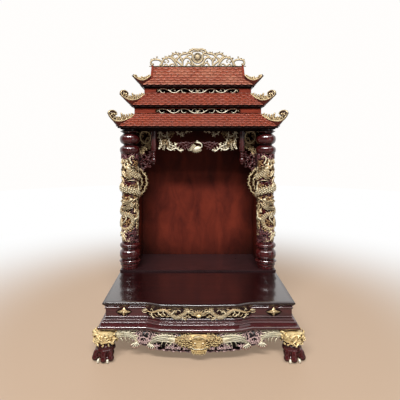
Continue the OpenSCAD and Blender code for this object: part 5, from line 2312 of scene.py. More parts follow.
            gold += [strand(rippled(line, 0.003, 5), 0.003, 0.0062), *sprigs(line, 0.0105)]
        for x, z, heading in ((-0.27, 0.681, 20), (-0.258, 0.655, -20), (-0.258, 0.628, -60),
                              (-0.268, 0.602, -100), (-0.286, 0.58, -70), (-0.283, 0.66, 150),
                              (-0.283, 0.62, 200), (-0.29, 0.7, 60)):
            gold.append(leaf(x, z, heading, 0.0095, 0.0032, 0.0062, 30))
        strip = np.array([(outer, 0.3266), (outer + 0.0085, 0.3266), (outer + 0.0085, 0.7), (-0.285, 0.72),
                          (-0.279, 0.79), (outer + 0.012, 0.8), (outer + 0.012, top), (outer, top)])
        dark.append(plate(strip, -0.001, 0.0035, 0.3))
        for k in (*range(13), *range(22, 27)):
            gold.append(dome(outer + 0.0052, 0.334 + 0.0086 * k, (0.0036, 0.0038), 0.0075, sides=9))
        gold += twig([(outer + 0.003, 0.444), (outer + 0.0085, 0.459), (outer + 0.003, 0.476),
                      (outer + 0.0085, 0.492), (outer + 0.003, 0.508), (outer + 0.007, 0.52)], 0.0032, 0.0075)
        surface = facing_front((low.y + high.y) / 2)
        add_piece("bracket_frets", [both_sides(two_faced(gold).mapped(surface))], GILDING, Slot.GILDING)
        add_piece("bracket_clouds", [both_sides(two_faced(dark).mapped(surface))], SHADED_CARVING, Slot.DARK,
                  ["column_brackets"])

    def pendants(self) -> None:
        """The turned drops that hang from the lintel."""
        low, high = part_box("pendants")
        x, y = high.x - 0.0115, (low.y + high.y) / 2
        drop = (high.z - low.z) / MM
        profile = [(0, 0), (4, 0.2), (5.4, 1.2), (6.2, 4), (6.4, 7), (5.2, 8.2)]
        for low_z, high_z, neck, big in ((8, 33, 5.4, 12.8), (34, 45, 5.6, 9.2), (46, 56, 6.2, 9.4),
                                         (57, 61, 6.8, 9.6)):
            profile += [(neck + (big - neck) * s, low_z + (high_z - low_z) * (1 - c) / 2)
                        for c, s in map(turned, range(0, 181, 15))]
        profile += [(7.4, 61.4), (12.6, 66), (13.2, 71), (12.4, drop - 40), (13.4, drop - 36), (13.4, drop),
                    (0, drop)]
        shape = lathe([(r * MM, low.z + z * MM) for r, z in profile], x, y, sides=32)
        add_piece("turned_pendants", [both_sides(shape)], ROSEWOOD_UPRIGHT, Slot.ROSEWOOD, ["pendants"], True)

    def valance(self) -> None:
        """Flowering branches round an oval opening, with a bird in their middle."""
        low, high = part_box("valance")
        pale, flowers, dark = [], [], []
        for knots in (((-0.108, 0.8926), (-0.0946, 0.881), (-0.0736, 0.8696)),
                      ((-0.08, 0.8926), (-0.075, 0.8745)),
                      ((-0.062, 0.886), (-0.045, 0.8935), (-0.0325, 0.8925)),
                      ((-0.05, 0.892), (-0.056, 0.8926)),
                      ((-0.182, 0.8926), (-0.178, 0.879), (-0.171, 0.87), (-0.158, 0.866)),
                      ((-0.15, 0.8926), (-0.15, 0.87), (-0.143, 0.852), (-0.136, 0.829), (-0.114, 0.819)),
                      ((-0.186, 0.88), (-0.19, 0.865), (-0.182, 0.85), (-0.178, 0.83)),
                      ((-0.19, 0.8926), (-0.187, 0.884))):
            pale += twig(knots, 0.0024, 0.0044, 1.7) + sprigs(knots, 0.0125)
        for x, z, reach, petals in ((-0.1406, 0.8755, 0.0115, 5), (-0.16, 0.849, 0.0125, 6),
                                    (-0.152, 0.8305, 0.0105, 5), (-0.176, 0.842, 0.008, 4),
                                    (-0.126, 0.884, 0.0065, 4), (-0.183, 0.868, 0.006, 4)):
            flowers += blossom(x, z, reach * 0.8, 0.0095, petals, 20)
            for k in range(petals + 1):
                c, s = turned(360 * k / (petals + 1) + math.degrees(x * 50))
                flowers += blossom(x + reach * 1.35 * c, z + reach * 1.2 * s, 0.0047, 0.0062, 5, 40 * k,
                                   rings=1)
        for k, (x, z, heading, size) in enumerate((
                (-0.17, 0.822, 170, 0.022), (-0.158, 0.816, 200, 0.022), (-0.178, 0.812, 150, 0.012),
                (-0.15, 0.813, -20, 0.018), (-0.165, 0.82, 80, 0.018))):
            pale += acanthus(x, z, heading, size, 0.0068, 0.0068, 1 if k % 2 else -1, 3)
        pale.append(dome(-0.189, 0.808, (0.0058, 0.0052), 0.006, sides=10))
        pale += twig([(-0.152, 0.811), (-0.14, 0.802), (-0.1274, 0.8007), (-0.116, 0.808), (-0.1044, 0.809),
                      (-0.094, 0.8), (-0.0848, 0.7963), (-0.074, 0.8)], 0.0034, 0.0055)
        for x, z, heading, size in ((-0.13, 0.803, 60, 0.016), (-0.109, 0.81, 80, 0.018),
                                    (-0.1, 0.804, 50, 0.015), (-0.088, 0.8, -60, 0.012),
                                    (-0.118, 0.806, -70, 0.012), (-0.109, 0.8285, 120, 0.012),
                                    (-0.11, 0.826, 30, 0.012), (-0.093, 0.798, 20, 0.018),
                                    (-0.08, 0.8, 110, 0.012)):
            pale.append(leaf(x, z, heading, size, 0.0042, 0.006, 20))
        pale.append(dome(-0.1095, 0.8265, (0.0055, 0.005), 0.006, sides=10))
        for first, last in (((-0.104, 0.812), (-0.058, 0.842)), ((-0.088, 0.804), (-0.05, 0.83)),
                            ((-0.1, 0.838), (-0.06, 0.804)), ((-0.084, 0.842), (-0.046, 0.806)),
                            ((-0.074, 0.8), (-0.034, 0.822)), ((-0.07, 0.836), (-0.03, 0.832)),
                            ((-0.062, 0.82), (-0.02, 0.838)), ((-0.106, 0.826), (-0.07, 0.834))):
            sway = ((first[0] + last[0]) / 2 + 0.003, (first[1] + last[1]) / 2 + 0.004)
            dark += twig((first, sway, last), 0.0024, 0.0042, 1.5)
        bird = [dome(-0.004, 0.8075, (0.021, 0.0115), 0.0095, 14, rings=5, sides=16),
                strand(rounded(np.array([(0.008, 0.81), (0.019, 0.8165), (0.0185, 0.828), (0.009, 0.8355),
                                         (-0.003, 0.8385)]), 16), 0.0052, 0.0078, Section.ROUND, Taper.CLUB),
                dome(-0.005, 0.8385, (0.0058, 0.0046), 0.0085, 10, sides=10),
                leaf(-0.008, 0.8385, 176, 0.011, 0.0022, 0.006, 12)]
        for k in range(6):
            bird.append(leaf(-0.002 - 0.003 * k, 0.8105 - 0.0016 * k, 148 + 9 * k, 0.033 - 0.001 * k, 0.0042,
                             0.0098, -24))
            bird.append(leaf(0.006 - 0.004 * k, 0.802 - 0.0006 * k, -14 - 26 * k, 0.0155, 0.0036, 0.0082, 14))
        for turn, size in ((196, 0.036), (208, 0.03), (184, 0.03)):
            bird.append(flame(-0.018, 0.803, turn, size, 0.0034, 0.0075, -26))
        for turn in (50, 80, 112):
            bird.append(leaf(-0.003, 0.842, turn, 0.009, 0.0018, 0.0055, 20))
        surface = facing_front((low.y + high.y) / 2)
        branches, blooms, lattice = (both_sides(two_faced(part).mapped(surface))
                                     for part in (pale, flowers, dark))
        add_piece("valance_branches", [branches, two_faced(bird).mapped(surface)], PALE_GILDING, Slot.GILDING,
                  ["valance"])
        add_piece("valance_flowers", [blooms], GILDING, Slot.GILDING)
        add_piece("valance_lattice", [lattice], SHADED_CARVING, Slot.DARK)


# ---------------------------------------------------------------- roof


@dataclass
class Tier:
    """One tier of the roof, with its slopes, its horns and the tiles on it."""

    name: str
    tile: tuple[float, float]
    horn_height: float
    hook: float
    fin: float
    hipped: bool = False
    horn_length: float = 0.037
    nose: float = 0.009
    flare: float = 0.32
    hip_low: float = 0.031
    hip_lift: float = 0.0
    tuck: float = 0.012
    drip: float = 0.0085
    eave: Vec = field(init=False)
    box: Vec = field(init=False)
    floor: float = field(init=False)
    depth: float = field(init=False)
    rise: float = field(init=False)
    gap: float = field(init=False)
    across: float = field(init=False)

    def __post_init__(self) -> None:
        """Reads the sizes that the CAD settles."""
        low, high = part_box(self.name + "_slope_front")
        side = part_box(self.name + "_slope_sides")[1]
        self.depth, self.rise = high.y - low.y, high.z - low.z
        self.floor = low.z
        self.eave = (side.x, low.y)
        self.gap = side.x - high.x
        self.across = side.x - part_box("gables")[1].x if self.hipped else self.depth
        self.box = (side.x - self.across, low.y + self.across)

    def height(self, share: np.ndarray | float) -> np.ndarray | float:
        """Height of the slope's face at a share of its depth."""
        return self.nose + (self.rise - self.nose) * (share - self.flare * share * (1 - share))

    def lay(self) -> tuple[Callable, float]:
        """How a flat field of tiles bends onto the slope.

        Returns:
            A function from the way up the slope and the height over it to depth and height, and the
            length of the slope.
        """
        share = np.linspace(0, 1, 41)
        line = np.stack([share * self.depth, self.height(share)], 1)
        way = np.concatenate([[0], np.cumsum(np.linalg.norm(np.diff(line, axis=0), axis=1))])
        ahead = unit(np.gradient(line, way, axis=0))

        def bend(v: np.ndarray, w: np.ndarray) -> tuple[np.ndarray, np.ndarray]:
            """Bends a field's points onto the slope.

            Args:
                v: Way up the slope; below 0 it runs straight on, past the eave.
                w: Height over the slope's face.

            Returns:
                Depth and height of each point.
            """
            spot = [np.interp(v, way, line[:, k]) for k in (0, 1)]
            lead = [np.interp(v, way, ahead[:, k]) for k in (0, 1)]
            below = np.minimum(v, 0)
            return (spot[0] + below * ahead[0, 0] - w * lead[1], spot[1] + below * ahead[0, 1] + w * lead[0])

        return bend, float(way[-1])

    def one_tile(self) -> Shape:
        """One tile: a thin shingle, round at its lower edge and a little hollowed across."""
        wide, course = self.tile
        across = np.linspace(-1, 1, 7)
        round_edge = course * 0.6 * (1 - np.sqrt(1 - 0.94 * across ** 2))
        rings = []
        for share, lift, thick in ((0.0, 0.0034, 0.0032), (0.09, 0.0046, 0.003), (0.26, 0.0037, 0.003),
                                   (1.0, 0.0006, 0.0004)):
            x = across * wide * 0.496
            y = round_edge * (1 - share) + share * course * 1.75
            over = np.stack([x, y, lift + 0.0016 * (1 - across ** 2)], 1)
            under = [[x[k], y[k], lift - thick * part] for k, part in ((-1, 1), (3, 0.6), (0, 1))]
            rings.append(np.concatenate([over, under]))
        # High relief on the front rings marks the lip that takes the roof wood's painted highlight.
        relief = np.concatenate([np.repeat((1.0, 0.9, 0.0, 0.0), len(rings[0])), (1.0, 0.0)])
        return skinned(rings, [rings[0].mean(0), rings[-1].mean(0)], relief)

    def field_of_tiles(self, span: float, length: float) -> Shape:
        """A flat field of tiles that covers a slope.

        Args:
            span: Length of the eave.
            length: Way from the eave to the slope's top.

        Returns:
            The tiles, with the eave along X.
        """
        wide, course = self.tile
        tile = scratch_object("tile", self.one_tile())
        base = Shape(np.zeros((1, 3)), np.empty((0, 3), int), np.ones(1))
        result = TILE_FIELD.run(base, {"Tile": tile, "Columns": 2 * math.ceil(span / wide / 2) + 3,
                                       "Courses": math.ceil((length + self.drip) / course),
                                       "Width": wide, "Course": course})
        bpy.data.objects.remove(tile)
        return result

    def tiles(self, span: float, cut: Callable, place: Callable, shift: float = 0.0,
              short: bool = False) -> Shape:
        """Tiles on one slope, cut at its mitres.

        Args:
            span: Length of the eave.
            cut: Function from depth to the lowest and highest place along the eave.
            place: Function from place along the eave, depth and height to a point in space.
            shift: Place along the eave of the field's middle.
            short: Whether the slope ends at the box, and not at its full depth.

        Returns:
            The tiles.
        """
        bend, length = self.lay()
        if short:
            length = self.way_up(self.across)
        flat = self.field_of_tiles(span, length)
        count = len(self.one_tile().points)
        u = flat.points[:, 0] + shift
        v = flat.points[:, 1] - self.drip
        depth, rise = bend(np.minimum(v, length), flat.points[:, 2])
        low, high = cut(np.clip(depth, 0, self.across if short else None))
        inside = ((u > low) & (u < high) & (v < length)).reshape(-1, count).any(1)
        points = place(np.clip(u, low, high), depth, rise)
        faces = flat.faces[inside[flat.faces[:, 0] // count]]
        used = np.repeat(inside, count)
        index = np.cumsum(used) - 1
        return Shape(points[used], index[faces], flat.relief[used])

    def way_up(self, depth: float) -> float:
        """Length of the slope from its eave to a depth."""
        share = np.linspace(0, depth / self.depth, 31)
        line = np.stack([share * self.depth, self.height(share)], 1)
        return float(np.linalg.norm(np.diff(line, axis=0), axis=1).sum())

    def build(self, back: float) -> list[Shape]:
        """Tiles of every slope of the tier.

        Args:
            back: Place of the altar's back along Y.

        Returns:
            The tiles on the front, both sides and, on the top tier, the back.
        """
        (x, y), gap = self.eave, self.gap

        def front_cut(d: np.ndarray) -> tuple[np.ndarray, np.ndarray]:
            """Places along the front's eave where its tiles end, at some depths."""
            reach = np.maximum(x - gap - d, self.box[0] - gap if self.hipped else 0)
            return -reach, reach

        def side_cut(d: np.ndarray) -> tuple[np.ndarray, np.ndarray]:
            """Places along a side's eave where its tiles end, at some depths."""
            return y + gap + d, back - gap - d if self.hipped else np.full(len(d), back)

        def on_front(u: np.ndarray, d: np.ndarray, h: np.ndarray) -> np.ndarray:
            """Points of the front slope, from place along the eave, depth and height."""
            return np.stack([u, y + d, self.floor + h], 1)

        def on_side(u: np.ndarray, d: np.ndarray, h: np.ndarray) -> np.ndarray:
            """Points of the right slope, from place along the eave, depth and height."""
            return np.stack([x - d, u, self.floor + h], 1)

        slopes = [self.tiles(2 * x, front_cut, on_front)]
        if self.hipped:
            slopes.append(slopes[0].mirrored((1, -1, 1), (0, 2 * (y + self.depth), 0)))
        side = self.tiles(back - y, side_cut, on_side, (y + back) / 2, self.hipped)
        slopes.append(both_sides(side.outward()))
        for slope in slopes:
            slope.points[:, 1] = np.minimum(slope.points[:, 1], back)
        return slopes

    def under(self, s: np.ndarray) -> np.ndarray:
        """Height of the horn's lower edge, at distances along its diagonal."""
        bend, tip = self.reach(-self.tuck), self.tip()
        return self.horn_height * (np.maximum(0, s - bend) / (tip - bend)) ** 1.3

    def hip(self, s: np.ndarray) -> np.ndarray:
        """Height of the hip's line.

        Args:
            s: Distances along the diagonal from the box's corner.

        Returns:
            The height at each.
        """
        sag, tip = self.reach(0.004), self.tip()
        head = self.height(self.across / self.depth) + self.hip_lift
        inner = self.hip_low + (head - self.hip_low) * (1 - s / sag) ** 2
        outer = self.hip_low + (self.horn_height - self.hip_low) * ((s - sag) / (tip - sag)) ** 2
        return np.where(s < sag, inner, outer)

    def reach(self, more: float) -> float:
        """Distance along the diagonal of the eave's corner and a bit more."""
        return (self.across + more) * math.sqrt(2)

    def tip(self) -> float:
        """Distance along the diagonal of the horn's tip."""
        return self.reach(self.horn_length)

    def diagonal(self, mirror_y: Optional[float] = None) -> Surface:
        """The upright plane of the right-hand horn.

        Args:
            mirror_y: Place along Y where it is mirrored to the back, or None for the front.

        Returns:
            The function that lays points on it.
        """
        root = math.sqrt(0.5)

        def lay(p: np.ndarray) -> np.ndarray:
            """Lays points on the plane.

            Args:
                p: Points on flat ground.

            Returns:
                The points in space.
            """
            x = self.box[0] + (p[:, 0] + p[:, 2]) * root
            y = self.box[1] - (p[:, 0] - p[:, 2]) * root
            if mirror_y is not None:
                y = 2 * mirror_y - y
            return np.stack([x, y, p[:, 1] + self.floor], 1)
        return lay


@dataclass
class Roof:
    """The three-tiered roof with its horns, scroll panels and crest."""

    horn_thick: float = 0.012
    fascia: float = 0.0068
    opening: float = 0.0245
    boss_z: float = 0.05
    tiers: list = field(init=False)
    back: float = field(init=False)

    def __post_init__(self) -> None:
        """Sets the sizes of the tiers and reads where the back is."""
        self.tiers = [
            Tier("lower", (0.0355, 0.0145), 0.069, 1.45, 0.036, horn_length=0.037),
            Tier("middle", (0.0355, 0.0145), 0.057, 1.4, 0.033, horn_length=0.046),
            Tier("upper", (0.0335, 0.023), 0.049, 0.62, 0.018, True, horn_length=0.038, hip_lift=0.021),
        ]
        self.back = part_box("back_panel")[1].y

    def build(self) -> None:
        """Builds every piece of the roof."""
        for tier in self.tiers:
            # The top tier takes the lighter roof wood with its painted sheen.
            finish = SHEEN_ROOF_WOOD if tier.hipped else ROOF_WOOD
            add_piece(tier.name + "_tiles", tier.build(self.back), finish, Slot.ROOF)
            self.horns(tier)
            for end in ("_slope_front", "_slope_sides"):
                dress_node(tier.name + end, ROOF_WOOD)
        for part in (self.fascias, self.ridge, self.scroll_panels, self.crest):
            part()
        dress_node("upper_slope_back", ROOF_WOOD)
        for node in ("middle_deck", "upper_deck"):
            dress_node(node, DARK_WOOD_AND_SHADE)
        for node in ("box_fronts", "box_sides", "box_backs", "gables"):
            dress_node(node, BOX_WOOD)

    def fascias(self) -> None:
        """Dark boards on the eaves' noses, under the tiles, whose near-black is painted shade under the
        eaves.
        """
        shapes = []
        for tier in self.tiers:
            (x, y), gap, tall = tier.eave, tier.gap, self.fascia
            end = self.back - gap if tier.hipped else self.back
            front, side = (plate(np.array([(a, 0), (b, 0), (b, tall), (a, tall)]), -0.002, 0.0012)
                           for a, b in ((gap - x, x - gap), (y + gap, end)))
            shapes += [front.mapped(facing_front(y, 0, tier.floor)),
                       both_sides(side.mapped(facing_right(x, 0, tier.floor)))]
        add_piece("eave_fascias", shapes, DARK_WOOD_AND_SHADE, Slot.DARK, sharp=True)

    def horns(self, tier: Tier) -> None:
        """The upturned corner boards of a tier with their gilded rims, webs and curls.

        Args:
            tier: The tier.
        """
        tip = tier.tip()
        s = np.linspace(0.001, tip, 33)
        low = tier.under(s)
        high = tier.hip(s) - 0.0005
        outline = np.concatenate([np.stack([s, np.minimum(low, high - 0.0004)], 1),
                                  np.stack([s, high], 1)[::-1]])
        board = plate(outline, -self.horn_thick / 2, self.horn_thick / 2, 0.6)
        s = s[s < tip - 0.0075]
        rim = np.stack([s, tier.hip(s)], 1)
        hook = tier.hook
        curl = np.array([(0, 0), (0.0035, 0.006), (0.003, 0.0125), (-0.004, 0.0175), (-0.0145, 0.018),
                         (-0.024, 0.0135), (-0.0275, 0.007), (-0.0225, 0.003), (-0.0175, 0.0065)]) * hook
        gold = [strand(rim, 0.0031, 0.0078, Section.ROUND, Taper.EVEN),
                strand(rim[len(rim) // 2:] + (0.0, 0.0014), 0.0052, 0.0072, Section.ROUND, Taper.LEAF)]
        whole = rounded(np.concatenate([rim[-6:], (curl + rim[-1])[1:]]), 44)
        stem = np.array([(-0.003, 0.002), (-0.009, 0.007), (-0.016, 0.0085), (-0.021, 0.004)]) * hook
        gold += [strand(whole, 0.0042, 0.0072, Section.ROUND, Taper.VINE),
                 plate(np.concatenate([whole[8:40], rim[-4:-3] + (0.0, 0.001)]), -0.0005, 0.0024, 0.1),
                 strand(rounded(stem + rim[-1], 14), 0.0026, 0.0062, Section.ROUND, Taper.LEAF),
                 dome(*whole[-1], (0.0036 * hook,) * 2, 0.0072, sides=10), *self.web(tier, tip)]
        body = board.mapped(tier.diagonal())
        trim = two_faced(gold).mapped(tier.diagonal())
        if tier.hipped:
            ridge_y = tier.eave[1] + tier.depth
            corner = 2 * ridge_y - tier.box[1]
            stop = (self.back - corner) * math.sqrt(2) - 0.008
            s = np.linspace(0.001, stop, 17)
            head = tier.height(tier.across / tier.depth) + tier.hip_lift
            high = head + (tier.nose + 0.008 - head) * (s / stop) ** 0.8
            outline = np.concatenate([[(0.001, 0), (stop, 0)], np.stack([s, high], 1)[::-1]])
            back_body = plate(outline, -self.horn_thick / 2, self.horn_thick / 2, 0.6)
            back_rim = strand(np.stack([s, high], 1), 0.004, 0.0072, Section.ROUND, Taper.EVEN)
            plane = tier.diagonal(ridge_y)
            body = joined([body, back_body.mapped(plane).inside_out()])
            trim = joined([trim, two_faced([back_rim]).mapped(plane).inside_out()])
        replaces = ["corner_horns"] if tier.name == "lower" else []
        add_piece(tier.name + "_horn_boards", [both_sides(body)], HORN_WOOD, Slot.ROOF, replaces, True)
        add_piece(tier.name + "_horn_gilding", [both_sides(trim)], GILDING, Slot.GILDING)

    def web(self, tier: Tier, tip: float) -> list[Shape]:
        """Scrolls and flames that stand on a horn's rim.

        Args:
            tier: The tier.
            tip: Distance of the horn's tip along its diagonal.

        Returns:
            The flat-backed shapes of one side.
        """
        fin, hook = tier.fin, tier.hook

        def line(share: float, above: float = 0.0) -> tuple[float, float]:
            """A point of the rim at a share of the way to its tip, and a bit above."""
            return tip * share, float(tier.hip(np.array(tip * share))) + above

        share = np.linspace(0.06, 0.955, 21)
        height = fin * (0.2 + 0.45 * np.sin(np.clip((share - 0.06) / 0.75, 0, 1) * math.pi / 2) ** 2)
        height *= 1 - 0.35 * np.abs(np.sin(share * 17))
        foot = np.array([line(a) for a in share])
        outline = np.concatenate([foot, (foot + np.stack([0 * share, height], 1))[::-1]])
        shapes = [plate(outline, -0.0005, 0.0026, 0.12)]
        for at, size, heading, hand in ((0.84, 1.5, 132, 1), (0.74, 1.7, 120, 1), (0.62, 1.4, 40, -1),
                                        (0.52, 1.5, 110, 1), (0.44, 1.1, 50, -1), (0.33, 1.2, 115, 1),
                                        (0.24, 0.9, 105, 1), (0.16, 0.7, 100, 1)):
            x, z = line(at, 0.001)
            shapes += scroll(x, z, heading, fin * size, hand, 0.0021, 0.0052, turns=310)
        knots = [line(0.9, 0.016 * hook), line(0.8, fin * 0.5), line(0.66, fin * 0.34), line(0.52, fin * 0.3)]
        shapes.append(strand(rounded(np.array(knots), 16), 0.0026, 0.0056, Section.ROUND, Taper.LEAF))
        for at, size, heading, wide in ((0.08, 0.4, 80, 0.0052), (0.17, 0.52, 86, 0.006),
                                        (0.27, 0.66, 92, 0.0064), (0.37, 0.8, 96, 0.0068),
                                        (0.47, 1.1, 98, 0.0078), (0.56, 0.7, 84, 0.0064),
                                        (0.65, 0.62, 104, 0.006)):
            x, z = line(at)
            shapes.append(leaf(x, z, heading, fin * size, wide, 0.0062, -40))
            top = flow(x, z, heading, fin * size, -40, steps=7)[-2]
            shapes.append(dome(top[0], top[1], (wide * 0.55,) * 2, 0.0064, sides=8))
        return shapes

    def ridge(self) -> None:
        """The moulded cap along the ridge and the verge boards on the gables."""
        tier = self.tiers[2]
        x, y, z = tier.box[0] - tier.gap, tier.eave[1] + tier.depth, tier.floor + tier.rise
        form = [(-0.009, -0.006), (-0.009, -0.001), (-0.0065, 0.0005), (-0.0065, 0.0022), (0.0065, 0.0022),
                (0.0065, 0.0005), (0.009, -0.001), (0.009, -0.006)]
        ends = [np.array([(side * (x + 0.0095), y + a, z + b) for a, b in form]) for side in (-1, 1)]
        bend, length = tier.lay()
        v = np.linspace(tier.way_up(tier.across) * 0.96, length, 15)
        under, over = (np.stack(bend(v, np.full(len(v), lift)), 1) for lift in (-0.006, 0.0075))

        def beside_gable(p: np.ndarray) -> np.ndarray:
            """Points beside the right gable for points on flat ground."""
            return p[:, [2, 0, 1]] + (x - 0.0005, tier.eave[1], tier.floor)

        front = plate(np.concatenate([under, over[::-1]]), 0.0, 0.0105).mapped(beside_gable).outward()
        rear = front.mirrored((1, -1, 1), (0, 2 * y, 0))
        add_piece("gable_verges", [both_sides(front), both_sides(rear)], BOX_WOOD, Slot.ROOF, sharp=True)
        add_piece("ridge_cap", [skinned(ends, [end.mean(0) for end in ends])], DARK_WOOD_AND_SHADE, Slot.ROOF,
                  sharp=True)

    def scroll_panels(self) -> None:
        """Running scrolls in the long openings of both boxes."""
        low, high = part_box("scroll_panels")
        knots = [(-0.1925, 0.008), (-0.184, 0.0105), (-0.1737, 0.0112), (-0.1597, 0.0088),
                 (-0.1471, 0.0035), (-0.1377, -0.0035), (-0.1237, -0.0095), (-0.1111, -0.0088),
                 (-0.1002, -0.003), (-0.0892, 0.0055)]
        wave = [strand(rounded(np.array(knots), 40), 0.0025, 0.004, Section.ROUND)]
        knots = [(-0.0845, 0.0085), (-0.072, 0.0112), (-0.0595, 0.0112), (-0.0469, 0.0062), (-0.0329, -0.004),
                 (-0.0188, -0.0095), (0.0, -0.01)]
        wave.append(strand(rounded(np.array(knots), 34), 0.0025, 0.004, Section.ROUND))
        for x in (-0.1925, -0.0845):
            hook = np.array([(x, 0.0085), (x + 0.004, -0.0), (x + 0.01, -0.0085), (x + 0.0175, -0.0112),
                             (x + 0.0245, -0.0085), (x + 0.0255, -0.003)])
            wave.append(strand(rounded(hook, 18), 0.0023, 0.004, Section.ROUND, Taper.VINE))
            wave.append(dome(x + 0.0165, -0.0098, (0.0042, 0.0034), 0.005, sides=10))
        for x in (-0.1377, -0.0297):
            hook = np.array([(x, -0.004), (x + 0.003, 0.0045), (x + 0.0095, 0.0098), (x + 0.0175, 0.0108),
                             (x + 0.024, 0.0062), (x + 0.0222, 0.001), (x + 0.017, 0.0014)])
            wave.append(strand(rounded(hook, 20), 0.0021, 0.004, Section.ROUND, Taper.VINE))
        wave += [leaf(-0.1925, 0.006, 176, 0.0165, 0.0026, 0.004, 12),
                 leaf(-0.193, 0.004, 205, 0.012, 0.0024, 0.004),
                 dome(-0.0297, -0.006, (0.0042, 0.0038), 0.0048, sides=10),
                 leaf(-0.087, 0.0065, 30, 0.008, 0.002, 0.004),
                 leaf(-0.147, 0.004, -30, 0.01, 0.002, 0.004, 30),
                 leaf(-0.1002, -0.002, -60, 0.008, 0.0018, 0.004)]
        half = joined(flatten(wave))
        middle = joined([leaf(0, -0.008, a, 0.0125, 0.0028, 0.0045) for a in (58, 90, 122)])
        board = plate(np.array([(-0.22, -0.016), (0.22, -0.016), (0.22, 0.016), (-0.22, 0.016)]), -0.0125,
                      -0.0105)
        shapes, rims, backs = [], [], []
        for tier, depth, base in zip(self.tiers, (low.y + 0.004, high.y - 0.004),
                                     (low.z, high.z - self.opening)):
            z = base + self.opening / 2
            surface = facing_front(depth, 0, z)
            shapes += [both_sides(half.mapped(surface)), middle.mapped(surface)]
            rims.append(self.opening_rim(tier.box[1], z))
            backs.append(board.mapped(surface))
        add_piece("scroll_panel_vines", shapes, PALE_GILDING, Slot.GILDING, ["scroll_panels"])
        add_piece("opening_rims", rims, BOX_WOOD, Slot.ROOF)
        add_piece("opening_backs", backs, DARK_WOOD_AND_SHADE, Slot.DARK)

    def opening_rim(self, depth: float, z: float) -> Shape:
        """A fine bead round a long opening.

        Args:
            depth: Place of the box's front along Y.
            z: Height of the opening's middle.

        Returns:
            The bead.
        """
        half, radius = 0.1975, 0.0132
        turn = np.radians(np.linspace(-90, 90, 13))
        right = np.stack([half + radius * np.cos(turn), radius * np.sin(turn)], 1)
        path = np.concatenate([right, -right, right[:1]])
        return strand(path, 0.0014, 0.0018, Section.ROUND).mapped(facing_front(depth, 0, z))

    def crest(self) -> None:
        """The openwork crest: a round boss in a pointed frame between running vines."""
        low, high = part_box("crest")
        width, height = 0.0054, 0.0058
        vines = []

        def vine(*knots: Vec, wide: float = 1.0, taper: Taper = Taper.EVEN) -> None:
            """Adds a vine.

            Args:
                knots: Points that it runs through, in millimetres.
                wide: Its width as a share of the usual one.
                taper: How its width changes along it.
            """
            path = rounded(np.array(knots, float) * MM, 5 * len(knots))
            vines.append(strand(path, width * wide, height, Section.ROUND, taper))

        vine((-236, 2), (-236, 2.2), (0, 2.2), (0, 2.1), wide=0.5)
        vine((-194, 30), (-205, 36), (-222, 37), (-238, 34), (-245, 23), (-243, 12), (-236, 10), (-233, 17))
        vine((-214, 37), (-217, 44), (-212, 50), wide=0.8, taper=Taper.VINE)
        vine((-200, 4), (-192, 14), (-190, 25), (-196, 34), wide=0.9)
        vine((-190, 4), (-184, 24), (-175, 40), (-160, 48), (-145, 47), (-131, 38), (-118, 22), (-107, 4),
             wide=1.1)
        vine((-168, 44), (-158, 36), (-152, 27), (-157, 22), (-162, 27), wide=0.8, taper=Taper.VINE)
        vine((-150, 3), (-140, 12), (-128, 14), (-120, 5), wide=0.8)
        vine((-180, 3), (-172, 11), (-163, 12), (-157, 4), wide=0.8)
        vine((-139, 57), (-128, 46), (-114, 34), (-100, 22), (-86, 10), (-78, 3), wide=1.1)
        vine((-116, 24), (-108, 38), (-98, 50), (-88, 60), (-74, 66), (-60, 68), (-48, 74))
        vine((-132, 58), (-122, 66), (-108, 66), (-98, 58), (-90, 48), (-82, 40), wide=0.9)
        vine((-79, 30), (-72, 41), (-60, 48), (-47, 46), (-37, 36), (-30, 22), (-26, 5), wide=1.1)
        vine((-92, 44), (-84, 34), (-79, 22), (-80, 8), (-84, 3))
        vine((-62, 3), (-54, 17), (-42, 20), (-33, 8), wide=0.9)
        vine((-64, 47), (-56, 56), (-44, 62), (-34, 62), wide=0.9)
        vine((-46, 74), (-38, 84), (-24, 91), (-10, 90.5), (0, 90), wide=1.1)
        vine((-45, 73), (-33, 70), (-27, 60), (-26, 48), (-22, 34), (-12, 24), (0, 20), wide=1.1)
        vine((-30, 22), (-18, 12), (-8, 6), (0, 4), wide=0.9)
        vine((-33, 72), (-22, 79), (-10, 81), (0, 81), wide=0.7)
        for x, z, heading, size in ((-125, 64, 120, 15), (-112, 68, 100, 14), (-101, 62, 80, 15),
                                    (-88, 62, 105, 13), (-74, 67, 95, 13), (-62, 69, 110, 12),
                                    (-128, 58, 160, 14), (-165, 46, 110, 13), (-150, 50, 80, 12),
                                    (-140, 50, 50, 14), (-178, 40, 140, 13), (-226, 38, 120, 10),
                                    (-238, 34, 140, 10), (-36, 84, 120, 10), (-24, 89, 100, 9),
                                    (-8, 89, 90, 4), (-105, 46, 200, 13), (-95, 34, 10, 15),
                                    (-58, 50, 70, 10), (-70, 40, 150, 11), (-132, 30, 20, 11),
                                    (-176, 22, 20, 10), (-46, 30, 200, 10), (-38, 40, 20, 10)):
            vines.append(leaf(x * MM, z * MM, heading, size * MM, 0.0058, 0.0058, 30))
        for x, z, radius in ((-125, 67, 5), (-101, 66, 4), (-76, 68, 4.5), (-213, 51, 4.4), (-245, 13, 4.8),
                             (-46, 75, 4.2), (-28, 85, 3.6), (-15, 88, 3.2), (-139, 58, 4), (-109, 42, 4.2)):
            vines.append(dome(x * MM, z * MM, (radius * MM,) * 2, 0.0062, sides=9))
        surface = facing_front((low.y + high.y) / 2, 0, low.z)
        ring = np.radians(np.arange(0, 361, 10))
        ring = np.stack([0.0215 * np.cos(ring), self.boss_z + 0.0215 * np.sin(ring)], 1)
        boss = [dome(0, self.boss_z, (0.0185, 0.0185), 0.0088, rings=6, sides=28),
                strand(ring, 0.0026, 0.006)]
        c, s = turned(-38)
        for offset in np.linspace(-0.016, 0.016, 9):
